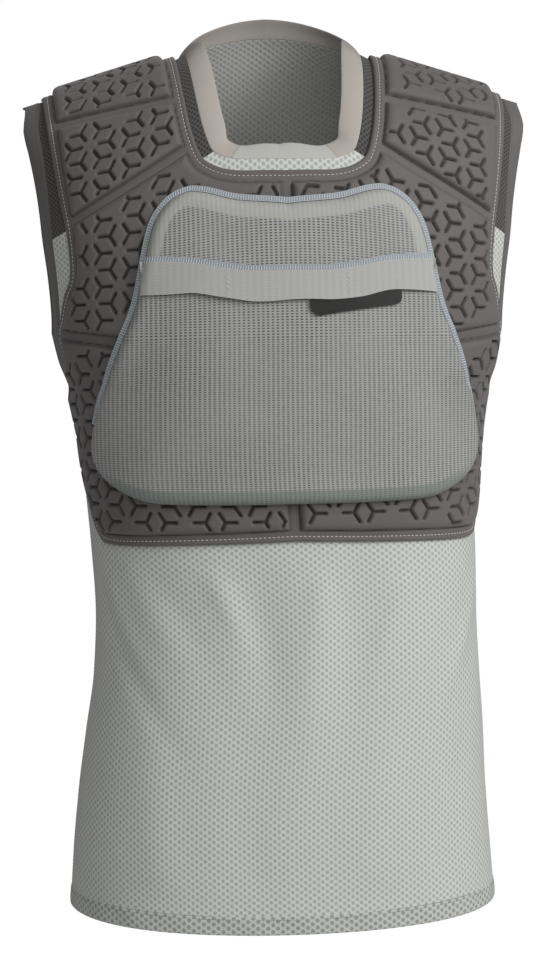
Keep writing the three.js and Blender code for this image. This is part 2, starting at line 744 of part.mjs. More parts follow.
// Smooth point and normal of the body at an angle and level
function bodyFrame(angle, level) {
  const step = 0.01;
  const point = surface(angle, level);
  const round = surface(angle + step, level).sub(surface(angle - step, level));
  const rise = surface(angle, level + 1).sub(surface(angle, level - 1));
  return { point, normal: round.cross(rise).normalize() };
}

// Hem band: the doubled edge round the foot of the shirt
function hemSection(angle) {
  const section = [];
  const corners = [[0, 0], [0, 1], [1, 1], [1, 0]];
  for (const [out, up] of corners) {
    const { point, normal } = bodyFrame(angle, hemLevel(angle, up * HEM_WIDTH));
    section.push(point.addScaledVector(normal, (out - 0.2) * HEM_WALL));
  }
  return section;
}
const hemSections = [];
for (let i = 0; i < HEM_STEPS; i += 1) {
  hemSections.push(hemSection(-Math.PI + (2 * Math.PI * i) / HEM_STEPS));
}
addPiece("hem_band", ringGeometry(hemSections), COLOURS.hem, 0.9);

// Armhole bindings: smooth elastic round each armhole edge
function bindingSection(map, side, sign, outer, inner) {
  const corners = [[outer, 0], [inner, 0], [inner, 1], [outer, 1]];
  return corners.map(([p, out]) =>
    map(sign * (side(p.y) - p.x), p.y, (out - 0.15) * BINDING_WALL));
}
const bindingOuter = armholeLine(0);
const bindingInner = armholeLine(BINDING_WIDTH);
for (const [name, sign] of [["armhole_binding_left", -1], ["armhole_binding_right", 1]]) {
  const sections = [];
  for (let i = 0; i <= ARMHOLE_STEPS; i += 1) {
    sections.push(bindingSection(onFront, sideLength, sign, bindingOuter[i], bindingInner[i]));
  }
  for (let i = ARMHOLE_STEPS - 1; i > 0; i -= 1) {
    sections.push(bindingSection(onBack, backSideLength, -sign, bindingOuter[i], bindingInner[i]));
  }
  if (sign > 0) sections.reverse();
  addPiece(name, ringGeometry(sections), COLOURS.binding, 0.6);
}

// Neck tape: a band that stands up and in from the neck seam
const seamFront = neckLine(0);
const seamBack = [];
for (let i = 1; i < NECK_STEPS; i += 1) {
  seamBack.push(backNeckSide * (1 - i / NECK_STEPS));
}
const halfRing = [
  ...seamFront.map((p) => onFront(p.x, p.y, SHIRT_WALL / 2)),
  ...seamBack.map((across) => onBack(-across, TOP - SEAM_GAP, SHIRT_WALL / 2)),
  onBack(0, TOP - SEAM_GAP, SHIRT_WALL / 2),
];
const ringLengths = [0];
for (let i = 1; i < halfRing.length; i += 1) {
  ringLengths.push(ringLengths[i - 1] + halfRing[i].distanceTo(halfRing[i - 1]));
}
const neckRing = [
  ...halfRing.map((point, i) => ({ point, along: ringLengths[i], sign: 1 })),
  ...halfRing
    .map((point, i) => ({
      point: new THREE.Vector3(-point.x, point.y, point.z),
      along: ringLengths[i],
      sign: -1,
    }))
    .slice(1, -1)
    .reverse(),
];
function tapeLean(at) {
  const along = at.along / ringLengths[ringLengths.length - 1];
  return new THREE.Vector3(
    -at.sign * readTable(TAPE_ROWS, "along", "inward", along),
    readTable(TAPE_ROWS, "along", "rearward", along),
    readTable(TAPE_ROWS, "along", "up", along),
  ).multiplyScalar(NECK_TAPE_WIDTH);
}
const tapeSections = neckRing.map((at, i) => {
  const before = neckRing[(i + neckRing.length - 1) % neckRing.length].point;
  const after = neckRing[(i + 1) % neckRing.length].point;
  const lean = tapeLean(at);
  const across = after.clone().sub(before).cross(lean).normalize();
  const start = at.point.clone().addScaledVector(lean, SEAM_GAP / NECK_TAPE_WIDTH);
  const thick = across.multiplyScalar(NECK_TAPE_WALL / 2);
  const end = start.clone().add(lean);
  return [start.clone().sub(thick), end.clone().sub(thick), end.clone().add(thick), start.clone().add(thick)];
});
addPiece("neck_tape", ringGeometry(tapeSections), COLOURS.tape, 0.8);

// Heights of the layers over the body
const FLANGE_INNER = SHIRT_WALL + PANEL_GAP;
const FLANGE_OUTER = FLANGE_INNER + FLANGE_WALL;
const PAD_OUTER = FLANGE_OUTER + PAD_HEIGHT;
const INSERT_INNER = PAD_OUTER + LAYER_GAP;
const INSERT_OUTER = INSERT_INNER + INSERT_THICKNESS;
const POCKET_INNER = INSERT_OUTER + LAYER_GAP;
const POCKET_OUTER = POCKET_INNER + POCKET_WALL;
const BAND_INNER = POCKET_OUTER + LAYER_GAP;

// Foam panel: a flat stitched flange round raised pads, with hinge lines between the pads
const panelNeck = neckLine(SEAM_GAP + FLANGE_AT_NECK);
const panelNeckFront = panelNeck.filter((p) => p.y <= TOP);
const panelNeckTop = panelNeckFront[panelNeckFront.length - 1].x;
const bindingEdge = armholeLine(BINDING_WIDTH);
const panelArm = PANEL_ARM_ROWS.map((row) => {
  const level = UNDERARM + row.rise * ARMHOLE_HEIGHT;
  const inset = pointAtLevel(bindingEdge, Math.min(level, bindingEdge[0].y)).x;
  return new THREE.Vector2(sideLength(level) - inset - row.gap * BINDING_WIDTH, level);
});
const panelUnderarm = armholeLine(BINDING_WIDTH + 2 * SEAM_GAP)
  .map((p) => new THREE.Vector2(sideLength(p.y) - p.x, p.y))
  .filter((p) => p.y < panelArm[panelArm.length - 1].y - 4 && p.x < SIDE_SHARE * sideLength(p.y));
const panelFoot = PANEL_FOOT_ROWS.map(
  (row) =>
    new THREE.Vector2(row.across * PANEL_HALF_WIDTH, PANEL_FOOT + row.rise * (UNDERARM - PANEL_FOOT)),
);
const panelOutline = mirroredShape([
  ...panelNeckFront,
  new THREE.Vector2(panelNeckTop, TOP + SHOULDER_LAP - LAP_CORNER),
  new THREE.Vector2(panelNeckTop + LAP_CORNER, TOP + SHOULDER_LAP),
  new THREE.Vector2(panelArm[0].x - LAP_CORNER, TOP + SHOULDER_LAP),
  new THREE.Vector2(panelArm[0].x, TOP + SHOULDER_LAP - LAP_CORNER),
  ...new THREE.SplineCurve(panelArm).getPoints(PANEL_ARM_STEPS),
  ...panelUnderarm,
  ...new THREE.SplineCurve(panelFoot).getPoints(PANEL_FOOT_STEPS),
]);

// Block over a hinge line between two points
function hingeBlock(from, to) {
  const along = to.clone().sub(from);
  const beside = new THREE.Vector2(-along.y, along.x).setLength(HINGE_WIDTH / 2);
  const shape = new THREE.Shape([
    from.clone().sub(beside),
    to.clone().sub(beside),
    to.clone().add(beside),
    from.clone().add(beside),
  ]);
  return block(shape, FLANGE_OUTER, PAD_OUTER + 1);
}
const onPanel = (across, rise) =>
  new THREE.Vector2(across * PANEL_HALF_WIDTH, UNDERARM + rise * ARMHOLE_HEIGHT);
const padOutline = insetShape(panelOutline, FLANGE_WIDTH);
let pads = sheet(padOutline, FLANGE_OUTER - PAD_ROOT, PAD_OUTER, PAD_BEVEL);
for (const row of HINGE_ROWS) {
  for (const sign of [-1, 1]) {
    const from = onPanel(sign * row.fromAcross, row.fromRise);
    pads = pads.subtract(hingeBlock(from, onPanel(sign * row.toAcross, row.toRise)));
  }
}
pads = pads.subtract(hingeBlock(onPanel(0, 1), new THREE.Vector2(0, PANEL_FOOT - CELL)));
const panel = sheet(panelOutline, FLANGE_INNER, FLANGE_OUTER).add(pads);
addPiece("chest_panel", wrapped(panel, onFront), COLOURS.foam, 0.8);

// Pocket: a mesh front drawn over an insert pad, its mouth under an elastic band
const pocketPoints = POCKET_ROWS.map(
  (row) => new THREE.Vector2(row.across * POCKET_HALF_WIDTH, POCKET_TOP - row.drop * POCKET_HEIGHT),
);
const pocketOutline = mirroredShape(pocketPoints);
const bandLevel = (across, name) => {
  const share = Math.abs(across) / POCKET_HALF_WIDTH;
  return POCKET_TOP - readTable(BAND_ROWS, "across", name, share) * POCKET_HEIGHT;
};

// Strip of the pocket between two curves across it
function pocketStrip(head, foot, reach) {
  const points = [];
  const steps = 8;
  for (let i = -steps; i <= steps; i += 1) {
    const across = (reach * i) / steps;
    points.push(new THREE.Vector2(across, foot(across)));
    points.unshift(new THREE.Vector2(across, head(across)));
  }
  return new THREE.Shape(points);
}

const insertOutline = insetShape(pocketOutline, 2 * POCKET_WALL + 1);
const insert = sheet(insertOutline, INSERT_INNER, INSERT_OUTER, POCKET_SLOPE);
addPiece("pocket_insert", wrapped(insert, onFront), COLOURS.insert, 0.8);

const pocketHollow = insetShape(pocketOutline, POCKET_WALL);
const pocketSkin = sheet(pocketOutline, INSERT_INNER, POCKET_OUTER, POCKET_SLOPE)
  .subtract(sheet(pocketHollow, INSERT_INNER - BLOCK_MARGIN, POCKET_INNER, POCKET_SLOPE));
const upperFoot = (across) => bandLevel(across, "seam") - BAND_LAP;
const lowerHead = (across) => bandLevel(across, "foot") + BAND_LAP;
const pocketReach = POCKET_HALF_WIDTH * 1.2;
const farUp = () => POCKET_TOP + CELL;
const farDown = () => POCKET_TOP - POCKET_HEIGHT - CELL;
const upperSkin = pocketSkin.intersect(
  block(pocketStrip(farUp, upperFoot, pocketReach), INSERT_INNER, POCKET_OUTER),
);
const lowerSkin = pocketSkin.intersect(
  block(pocketStrip(lowerHead, farDown, pocketReach), INSERT_INNER, POCKET_OUTER),
);
addPiece("pocket_upper", wrapped(upperSkin, onFront), COLOURS.pocket, 0.85);
addPiece("pocket_lower", wrapped(lowerSkin, onFront), COLOURS.pocket, 0.85);

// Half width of the pocket at a level
const pocketSide = (level) => pointAtLevel(pocketPoints.slice(3), level).x;

// Elastic band, the thread seam along its head, and the label at its foot
const bandReach = pocketSide(bandLevel(0, "foot")) - POCKET_SLOPE;
const bandHead = (across) => bandLevel(across, "seam") - BAND_SEAM_WIDTH / 2 - CLEARANCE;
const bandFoot = (across) => bandLevel(across, "foot");
const band = sheet(pocketStrip(bandHead, bandFoot, bandReach), BAND_INNER, BAND_INNER + POCKET_WALL);
addPiece("pocket_band", wrapped(band, onFront), COLOURS.band, 0.85);

const seamReach = pocketSide(bandLevel(NECK_HALF_WIDTH, "seam")) - POCKET_SLOPE;
const seamHead = (across) => bandLevel(across, "seam") + BAND_SEAM_WIDTH / 2;
const seamFoot = (across) => bandLevel(across, "seam") - BAND_SEAM_WIDTH / 2;
const bandSeam = sheet(pocketStrip(seamHead, seamFoot, seamReach), BAND_INNER, BAND_INNER + TRIM_WALL);
addPiece("band_seam", wrapped(bandSeam, onFront), COLOURS.trim, 0.7);

// Label tab: blank, hung from the foot of the band, its lower corners rounded
const labelEnd = LABEL_START + LABEL_WIDTH;
const labelHead = (across) => bandFoot(across) - 2 * SEAM_GAP;
const labelSteps = 5;
const labelTop = [];
for (let i = labelSteps; i >= 0; i -= 1) {
  const across = LABEL_START + (LABEL_WIDTH * i) / labelSteps;
  labelTop.push(new THREE.Vector2(across, labelHead(across)));
}
const labelShape = new THREE.Shape([
  new THREE.Vector2(LABEL_START, labelHead(LABEL_START) - LABEL_HEIGHT + LABEL_CORNER),
  new THREE.Vector2(LABEL_START + LABEL_CORNER, labelHead(LABEL_START) - LABEL_HEIGHT),
  new THREE.Vector2(labelEnd - LABEL_CORNER, labelHead(labelEnd) - LABEL_HEIGHT),
  new THREE.Vector2(labelEnd, labelHead(labelEnd) - LABEL_HEIGHT + LABEL_CORNER),
  ...labelTop,
]);
const label = sheet(labelShape, BAND_INNER, BAND_INNER + LABEL_WALL);
addPiece("label_tab", wrapped(label, onFront), COLOURS.label, 0.5);

// Pocket edge seam: overlock thread round the pocket's top and upper sides
const trimCurve = pocketPoints.filter((p) => p.y > POCKET_TOP - EDGE_SEAM_SHARE * POCKET_HEIGHT);
const trimSide = (offset) => {
  const curve = new THREE.SplineCurve(trimCurve);
  const steps = trimCurve.length;
  const line = [];
  for (let i = 0; i <= steps; i += 1) {
    const point = curve.getPoint(i / steps);
    const along = i === 0 ? new THREE.Vector2(1, 0) : curve.getTangent(i / steps);
    line.push(new THREE.Vector2(point.x - along.y * offset, point.y + along.x * offset));
  }
  return line;
};
const trimInner = trimSide(2 * SEAM_GAP);
const trimOuter = trimSide(2 * SEAM_GAP + POCKET_TRIM_WIDTH);
const flip = (p) => new THREE.Vector2(-p.x, p.y);
const edgeSeamShape = new THREE.Shape([
  ...trimOuter.slice(1).reverse().map(flip),
  ...trimOuter,
  ...trimInner.slice().reverse(),
  ...trimInner.slice(1).map(flip),
]);
const edgeSeam = sheet(edgeSeamShape, INSERT_INNER, INSERT_INNER + TRIM_WALL);
addPiece("pocket_edge_seam", wrapped(edgeSeam, onFront), COLOURS.trim, 0.7);

export default vest;
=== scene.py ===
import math

import bpy
import numpy as np
from bpy.props import FloatProperty, FloatVectorProperty, PointerProperty
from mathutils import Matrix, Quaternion, Vector
from mathutils.geometry import delaunay_2d_cdt


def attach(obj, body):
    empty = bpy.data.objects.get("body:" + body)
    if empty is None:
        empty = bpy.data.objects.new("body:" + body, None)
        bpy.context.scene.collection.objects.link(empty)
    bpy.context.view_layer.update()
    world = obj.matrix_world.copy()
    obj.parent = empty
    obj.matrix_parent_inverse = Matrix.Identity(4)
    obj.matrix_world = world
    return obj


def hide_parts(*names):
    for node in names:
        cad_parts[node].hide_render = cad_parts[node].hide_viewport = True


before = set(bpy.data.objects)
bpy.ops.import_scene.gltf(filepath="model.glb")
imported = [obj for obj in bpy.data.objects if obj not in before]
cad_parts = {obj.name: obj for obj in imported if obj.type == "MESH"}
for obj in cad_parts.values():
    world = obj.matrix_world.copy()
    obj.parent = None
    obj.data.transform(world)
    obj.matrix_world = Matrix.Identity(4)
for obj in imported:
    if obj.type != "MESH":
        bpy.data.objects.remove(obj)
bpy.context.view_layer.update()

bl_info = {
    "name": "Roost deflector vest",
    "version": (1, 0, 0),
    "blender": (4, 5, 0),
    "location": "View3D > Sidebar > Vest",
    "description": "Mesh vest with an embossed foam panel and a chest pocket",
    "category": "Object",
}

MM = 0.001

# Body that the vest is worn on, in millimetres, as in the CAD source. Levels are heights
# over the shoulder seat.
CHEST_LEVEL = -200
CHEST_HALF_WIDTH = 180
CHEST_FRONT = 118
CHEST_BACK = 112
CHEST_TO_HEM = 456
SHOULDER_HALF_WIDTH = 216
SHOULDER_TOP = 13.5
SHOULDER_DROP = 43
NECK_HALF_WIDTH = 75
BACK_NECK_REACH = 50
BACK_NECK_TOP = 34
BACK_NECK_LEAN = math.radians(58)
BACK_NECK_CURVE = 0.62
OVAL_FULLNESS = 0.03

# Layers over the body, as in the CAD source
SHIRT_WALL = 1.5
LAYER_GAP = 0.7
PANEL_GAP = 1.0
FLANGE_WALL = 2.4
PAD_HEIGHT = 4.8
INSERT_THICKNESS = 6
POCKET_WALL = 1.2
TRIM_WALL = 1.6
LABEL_WALL = 1.4
FLANGE_INNER = SHIRT_WALL + PANEL_GAP
FLANGE_OUTER = FLANGE_INNER + FLANGE_WALL
PAD_OUTER = FLANGE_OUTER + PAD_HEIGHT
INSERT_INNER = PAD_OUTER + LAYER_GAP
INSERT_OUTER = INSERT_INNER + INSERT_THICKNESS
POCKET_INNER = INSERT_OUTER + LAYER_GAP
POCKET_OUTER = POCKET_INNER + POCKET_WALL
BAND_INNER = POCKET_OUTER + LAYER_GAP

# Widths of what is sewn on
BINDING_WIDTH = 13
BINDING_WALL = 2.2
NECK_TAPE_WIDTH = 18
NECK_TAPE_WALL = 1.5
HEM_WIDTH = 14
HEM_WALL = 2.4
HEM_DIP = 8
FLANGE_WIDTH = 9
FLANGE_AT_NECK = 7.65
HINGE_WIDTH = 8
POCKET_SLOPE = 7
POCKET_TRIM_WIDTH = 4
EDGE_SEAM_SHARE = 0.74
BAND_SEAM_WIDTH = 5
BAND_LAP = 9
LABEL_WIDTH = 68
LABEL_SHOWN = 10.6
LABEL_START = 13
LABEL_CORNERS = (7, 5)
SEAM_GAP = 0.8
TRIM_SHOWN = TRIM_WALL * 0.6

# Outlines on the flat pattern
FRONT_NECK_DROP = 138
ARMHOLE_HEIGHT = 289
ARMHOLE_INSET = 41
PANEL_HALF_WIDTH = 193
PANEL_FOOT = -363
SHOULDER_LAP = 14
LAP_CORNER = 5.6
YOKE_LAP = 18
YOKE_SEAM_NECK = -72
YOKE_SEAM_ARM = -118
POCKET_HALF_WIDTH = 154
POCKET_TOP = -100
POCKET_HEIGHT = 229
SIDE_SHARE = 0.945

# Embossed marks of the foam: a lattice of three-armed grooves, one in each triangle
MARK_PITCH = 25.9
MARK_COLUMN = MARK_PITCH * math.sqrt(3) / 2
MARK_ACROSS = -0.4
MARK_UP = -126.6
MARK_SKEW = 3.6
MARK_ARM = 8.4
MARK_HALF_WIDTH = 1.2
MARK_WALL = 1.3
MARK_MARGIN = 3.2
PAD_ROUND = 6.5
CREASE_WIDTH = 1.0
CREASE_DEPTH = 0.8
# How dark the painted shade along the hinge creases is, as a share of that in the grooves
CREASE_SHADE = 0.7

# Soft forms that only the cloth has: the pocket's fullness and ripple, the band's lift off
# the pocket, the hem's swell, the tape's bow and wave
CROWN = 1.6
CROWN_REACH = (10, 70)
RIPPLE = 0.35
BAND_LIFT = (1.3, 0.5)
HEM_SWELL = 0.5
TAPE_BOW = 0.9
TAPE_WAVE = 0.8

# Knits: pitch of the cells across and up, their radius, how dark and how deep they are
SHIRT_KNIT = {"wide": 6.7, "high": 4.95, "radius": 1.45, "contrast": 0.6, "depth": 0.5}
BACK_KNIT = {"wide": 6.7, "high": 4.95, "radius": 1.45, "contrast": 0.5, "depth": 0.5}
HEM_KNIT = {"wide": 7.6, "high": 5.4, "radius": 1.6, "contrast": 0.85, "depth": 0.6}
YOKE_KNIT = {"wide": 4.4, "high": 4.4, "radius": 1.0, "contrast": 0.8, "depth": 0.7}
POCKET_PITCH = (3.5, 1.75)
POCKET_HOLE = (1.15, 0.42)

# Stitches: length, pitch and thickness, and turn from their line in radians
CHAIN_STITCH = (1.9, 1.9, 0.5, 0)
TACK_STITCH = (2.2, 1.4, 0.5, 0.6)
# The hem's first row: close, thick stitches of darker thread on the seam line, seam thread and a
# painted shadow line of the seam in one
HEM_THREAD_AND_SHADOW = (2.3, 1.9, 0.75, 0)
HEM_STITCH = (1.9, 2.6, 0.45, 0)
SIDE_STITCH = (1.9, 2.7, 0.45, 0)
BINDING_STITCH = (2.0, 2.8, 0.45, 0)
OVERLOCK_TURN = math.radians(84)
TACKS_ACROSS = (-46.0, 42.0)

# Torso from the chest level down: shares of the drop to the hem, and of the chest's sizes
TORSO_ROWS = [
    {"drop": 0.0, "side": 1, "front": 1.0, "back": 1.0, "sway": 0},
    {"drop": 0.048, "side": 0.956, "front": 0.992, "back": 0.982, "sway": 0},
    {"drop": 0.095, "side": 0.901, "front": 0.983, "back": 0.964, "sway": 0},
    {"drop": 0.2, "side": 0.866, "front": 0.95, "back": 0.893, "sway": 0.3},
    {"drop": 0.286, "side": 0.85, "front": 0.915, "back": 0.84, "sway": 2.1},
    {"drop": 0.372, "side": 0.845, "front": 0.89, "back": 0.804, "sway": 4.4},
    {"drop": 0.485, "side": 0.839, "front": 0.873, "back": 0.804, "sway": 6},
    {"drop": 0.589, "side": 0.85, "front": 0.881, "back": 0.848, "sway": 5.7},
    {"drop": 0.693, "side": 0.877, "front": 0.898, "back": 0.911, "sway": 3.5},
    {"drop": 0.797, "side": 0.9, "front": 0.924, "back": 0.964, "sway": 0.9},
    {"drop": 0.9, "side": 0.922, "front": 0.949, "back": 0.991, "sway": 0},
    {"drop": 1.0, "side": 0.94, "front": 0.966, "back": 1.009, "sway": 0},
]

# Half width from the chest level up to the shoulder line
SHOULDER_ROWS = [
    {"rise": 0.0, "side": 0.0},
    {"rise": 0.08, "side": 0.05},
    {"rise": 0.2, "side": 0.155},
    {"rise": 0.32, "side": 0.29},
    {"rise": 0.435, "side": 0.4},
    {"rise": 0.55, "side": 0.555},
    {"rise": 0.67, "side": 0.77},
    {"rise": 0.74, "side": 0.91},
    {"rise": 0.8, "side": 0.985},
    {"rise": 1.0, "side": 1.0},
]

# Soft folds of the shirt: place as shares of the chest's half width and of the drop to the
# hem, turn from upright in degrees, and length, width and height as shares of the half width
FOLD_ROWS = [
    {"across": -0.62, "drop": 0.47, "turn": 38, "length": 0.42, "width": 0.085, "height": 0.017},
    {"across": -0.47, "drop": 0.52, "turn": 30, "length": 0.4, "width": 0.09, "height": -0.017},
    {"across": -0.15, "drop": 0.52, "turn": 8, "length": 0.34, "width": 0.11, "height": -0.02},
    {"across": 0.24, "drop": 0.51, "turn": -6, "length": 0.34, "width": 0.11, "height": -0.019},
    {"across": 0.62, "drop": 0.5, "turn": -32, "length": 0.4, "width": 0.1, "height": 0.014},
    {"across": 0.03, "drop": 0.6, "turn": 0, "length": 0.4, "width": 0.13, "height": 0.014},
]

# Shallow folds that only the cloth has, in the same columns
DRAPE_ROWS = [
    {"across": -0.86, "drop": 0.45, "turn": 24, "length": 0.3, "width": 0.05, "height": 0.012},
    {"across": -0.78, "drop": 0.56, "turn": 34, "length": 0.36, "width": 0.05, "height": -0.013},
    {"across": -0.33, "drop": 0.44, "turn": 22, "length": 0.24, "width": 0.05, "height": 0.014},
    {"across": 0.09, "drop": 0.46, "turn": -4, "length": 0.22, "width": 0.06, "height": 0.012},
    {"across": 0.44, "drop": 0.46, "turn": -22, "length": 0.26, "width": 0.05, "height": 0.012},
    {"across": 0.82, "drop": 0.52, "turn": -30, "length": 0.34, "width": 0.05, "height": 0.012},
    {"across": -0.6, "drop": 0.86, "turn": 6, "length": 0.5, "width": 0.1, "height": 0.009},
    {"across": -0.2, "drop": 0.88, "turn": 2, "length": 0.45, "width": 0.1, "height": -0.008},
    {"across": 0.35, "drop": 0.86, "turn": -3, "length": 0.5, "width": 0.11, "height": 0.009},
    {"across": 0.75, "drop": 0.82, "turn": -8, "length": 0.5, "width": 0.09, "height": -0.008},
]

# Neck seam from the centre front to the shoulder: shares of the neck's half width and drop
NECK_ROWS = [
    {"across": 0.0, "rise": 0.0},
    {"across": 0.46, "rise": 0.018},
    {"across": 0.7, "rise": 0.075},
    {"across": 0.79, "rise": 0.16},
    {"across": 0.87, "rise": 0.36},
    {"across": 0.935, "rise": 0.68},
    {"across": 0.96, "rise": 1.0},
]

# Lean of the neck tape from its seam to its free edge, in shares of its width
TAPE_ROWS = [
    {"along": 0.0, "inward": 0.0, "rearward": 0.64, "up": 0.66},
    {"along": 0.17, "inward": 0.55, "rearward": 0.5, "up": 0.55},
    {"along": 0.27, "inward": 0.92, "rearward": 0.2, "up": 0.32},
    {"along": 0.45, "inward": 0.94, "rearward": 0.15, "up": 0.3},
    {"along": 0.6, "inward": 0.78, "rearward": 0.3, "up": 0.6},
    {"along": 0.78, "inward": 0.35, "rearward": 0.0, "up": 0.8},
    {"along": 1.0, "inward": 0.0, "rearward": -0.25, "up": 0.86},
]

# Armhole edge from the shoulder to the underarm
ARMHOLE_ROWS = [
    {"rise": 1.0, "inset": 0.49},
    {"rise": 0.75, "inset": 0.87},
    {"rise": 0.415, "inset": 1.0},
    {"rise": 0.19, "inset": 0.92},
    {"rise": 0.09, "inset": 0.68},
    {"rise": 0.024, "inset": 0.34},
    {"rise": 0.0, "inset": 0.0},
]

# Foam panel beside the armhole: gaps to the binding as shares of the binding's width
PANEL_ARM_ROWS = [
    {"rise": 1.0, "gap": 0.3},
    {"rise": 0.87, "gap": 0.3},
    {"rise": 0.72, "gap": 0.62},
    {"rise": 0.54, "gap": 0.96},
    {"rise": 0.42, "gap": 1.42},
    {"rise": 0.335, "gap": 1.53},
    {"rise": 0.28, "gap": 1.41},
    {"rise": 0.235, "gap": 0.85},
    {"rise": 0.17, "gap": 0.4},
]

# Foot of the foam panel, from the side to the centre
PANEL_FOOT_ROWS = [
    {"across": 1.03, "rise": 0.66},
    {"across": 1.0, "rise": 0.4},
    {"across": 0.945, "rise": 0.2},
    {"across": 0.87, "rise": 0.045},
    {"across": 0.78, "rise": 0.0},
    {"across": 0.45, "rise": 0.01},
    {"across": 0.0, "rise": 0.03},
]

# Hinge lines of the foam panel
HINGE_ROWS = [
    {"from_across": 0.3, "from_rise": 0.735, "to_across": 1.1, "to_rise": 0.775},
    {"from_across": 0.25, "from_rise": 0.63, "to_across": 1.0, "to_rise": 0.405},
    {"from_across": 0.0, "from_rise": 0.085, "to_across": 0.67, "to_rise": 0.105},
    {"from_across": 0.65, "from_rise": 0.104, "to_across": 1.2, "to_rise": 0.145},
]

# Pocket outline from the centre top round to the centre foot
POCKET_ROWS = [
    {"across": 0.0, "drop": 0.074},
    {"across": 0.24, "drop": 0.054},
    {"across": 0.4, "drop": 0.015},
    {"across": 0.49, "drop": 0.0},
    {"across": 0.57, "drop": 0.018},
    {"across": 0.63, "drop": 0.06},
    {"across": 0.667, "drop": 0.118},
    {"across": 0.7, "drop": 0.218},
    {"across": 0.747, "drop": 0.354},
    {"across": 0.838, "drop": 0.489},
    {"across": 0.929, "drop": 0.636},
    {"across": 0.99, "drop": 0.755},
    {"across": 1.0, "drop": 0.834},
    {"across": 0.961, "drop": 0.891},
    {"across": 0.883, "drop": 0.939},
    {"across": 0.766, "drop": 0.978},
    {"across": 0.636, "drop": 0.996},
    {"across": 0.3, "drop": 1.0},
    {"across": 0.0, "drop": 1.0},
]

# Upper and lower edges of the elastic band over the pocket's mouth
BAND_ROWS = [
    {"across": 0.0, "seam": 0.258, "foot": 0.342},
    {"across": 0.16, "seam": 0.257, "foot": 0.344},
    {"across": 0.32, "seam": 0.242, "foot": 0.332},
    {"across": 0.5, "seam": 0.214, "foot": 0.309},
    {"across": 0.72, "seam": 0.198, "foot": 0.309},
]


# ---- Form of the body ----


def read_table(rows, key, name, at):
    """Column of a table at values of another column, on a smooth curve without overshoot."""
    x = np.array([row[key] for row in rows], float)
    y = np.array([row[name] for row in rows], float)
    slope = np.diff(y) / np.diff(x)
    product = slope[:-1] * slope[1:]
    total = np.where(product > 0, slope[:-1] + slope[1:], 1)
    tangent = np.concatenate([slope[:1], np.where(product > 0, 2 * product / total, 0), slope[-1:]])
    row = np.clip(np.searchsorted(x, at) - 1, 0, len(x) - 2)
    span = x[row + 1] - x[row]
    t = np.clip((at - x[row]) / span, 0, 1)
    start = y[row] * (1 + 2 * t) * (1 - t) ** 2 + span * tangent[row] * t * (1 - t) ** 2
    end = y[row + 1] * t * t * (3 - 2 * t) + span * tangent[row + 1] * t * t * (t - 1)
    return start + end


def smooth_step(value, low, high):
    """0 below low, 1 above high, and smooth between."""
    t = np.clip((value - low) / (high - low), 0, 1)
    return t * t * (3 - 2 * t)


ARCH_STEPS = 96
arch_angles = (np.arange(ARCH_STEPS) + 0.5) / ARCH_STEPS * math.pi / 2
arch_steps = np.hypot(CHEST_LEVEL * np.cos(arch_angles), CHEST_FRONT * np.sin(arch_angles))
ARCH_LENGTHS = np.concatenate([[0], np.cumsum(arch_steps * math.pi / 2 / ARCH_STEPS)])
ARCH = ARCH_LENGTHS[-1]
TOP = CHEST_LEVEL + ARCH
UNDERARM = TOP - ARMHOLE_HEIGHT
HEM = CHEST_LEVEL - CHEST_TO_HEM


def fold_height(rows, across, level):
    """Height of a table's folds at a place on the body."""
    height = np.zeros(np.broadcast(across, level).shape)
    for row in rows:
        x = across - row["across"] * CHEST_HALF_WIDTH
        y = level - (CHEST_LEVEL - row["drop"] * CHEST_TO_HEM)
        turn = math.radians(row["turn"])
        along = (y * math.cos(turn) - x * math.sin(turn)) / (row["length"] * CHEST_HALF_WIDTH)
        beside = (x * math.cos(turn) + y * math.sin(turn)) / (row["width"] * CHEST_HALF_WIDTH)
        height = height + row["height"] * CHEST_HALF_WIDTH * np.exp(-along**2 - beside**2)
    return height


def shoulder_height(across):
    """Height of the shoulder line, which rises behind the neck."""
    away = np.abs(across)
    share = (away - NECK_HALF_WIDTH) / (SHOULDER_HALF_WIDTH - NECK_HALF_WIDTH)
    crown = 1 - (away / NECK_HALF_WIDTH) ** 2
    rise = BACK_NECK_TOP - SHOULDER_TOP
    outer = SHOULDER_TOP - SHOULDER_DROP * share
    return np.where(away > NECK_HALF_WIDTH, outer, SHOULDER_TOP + rise * crown)


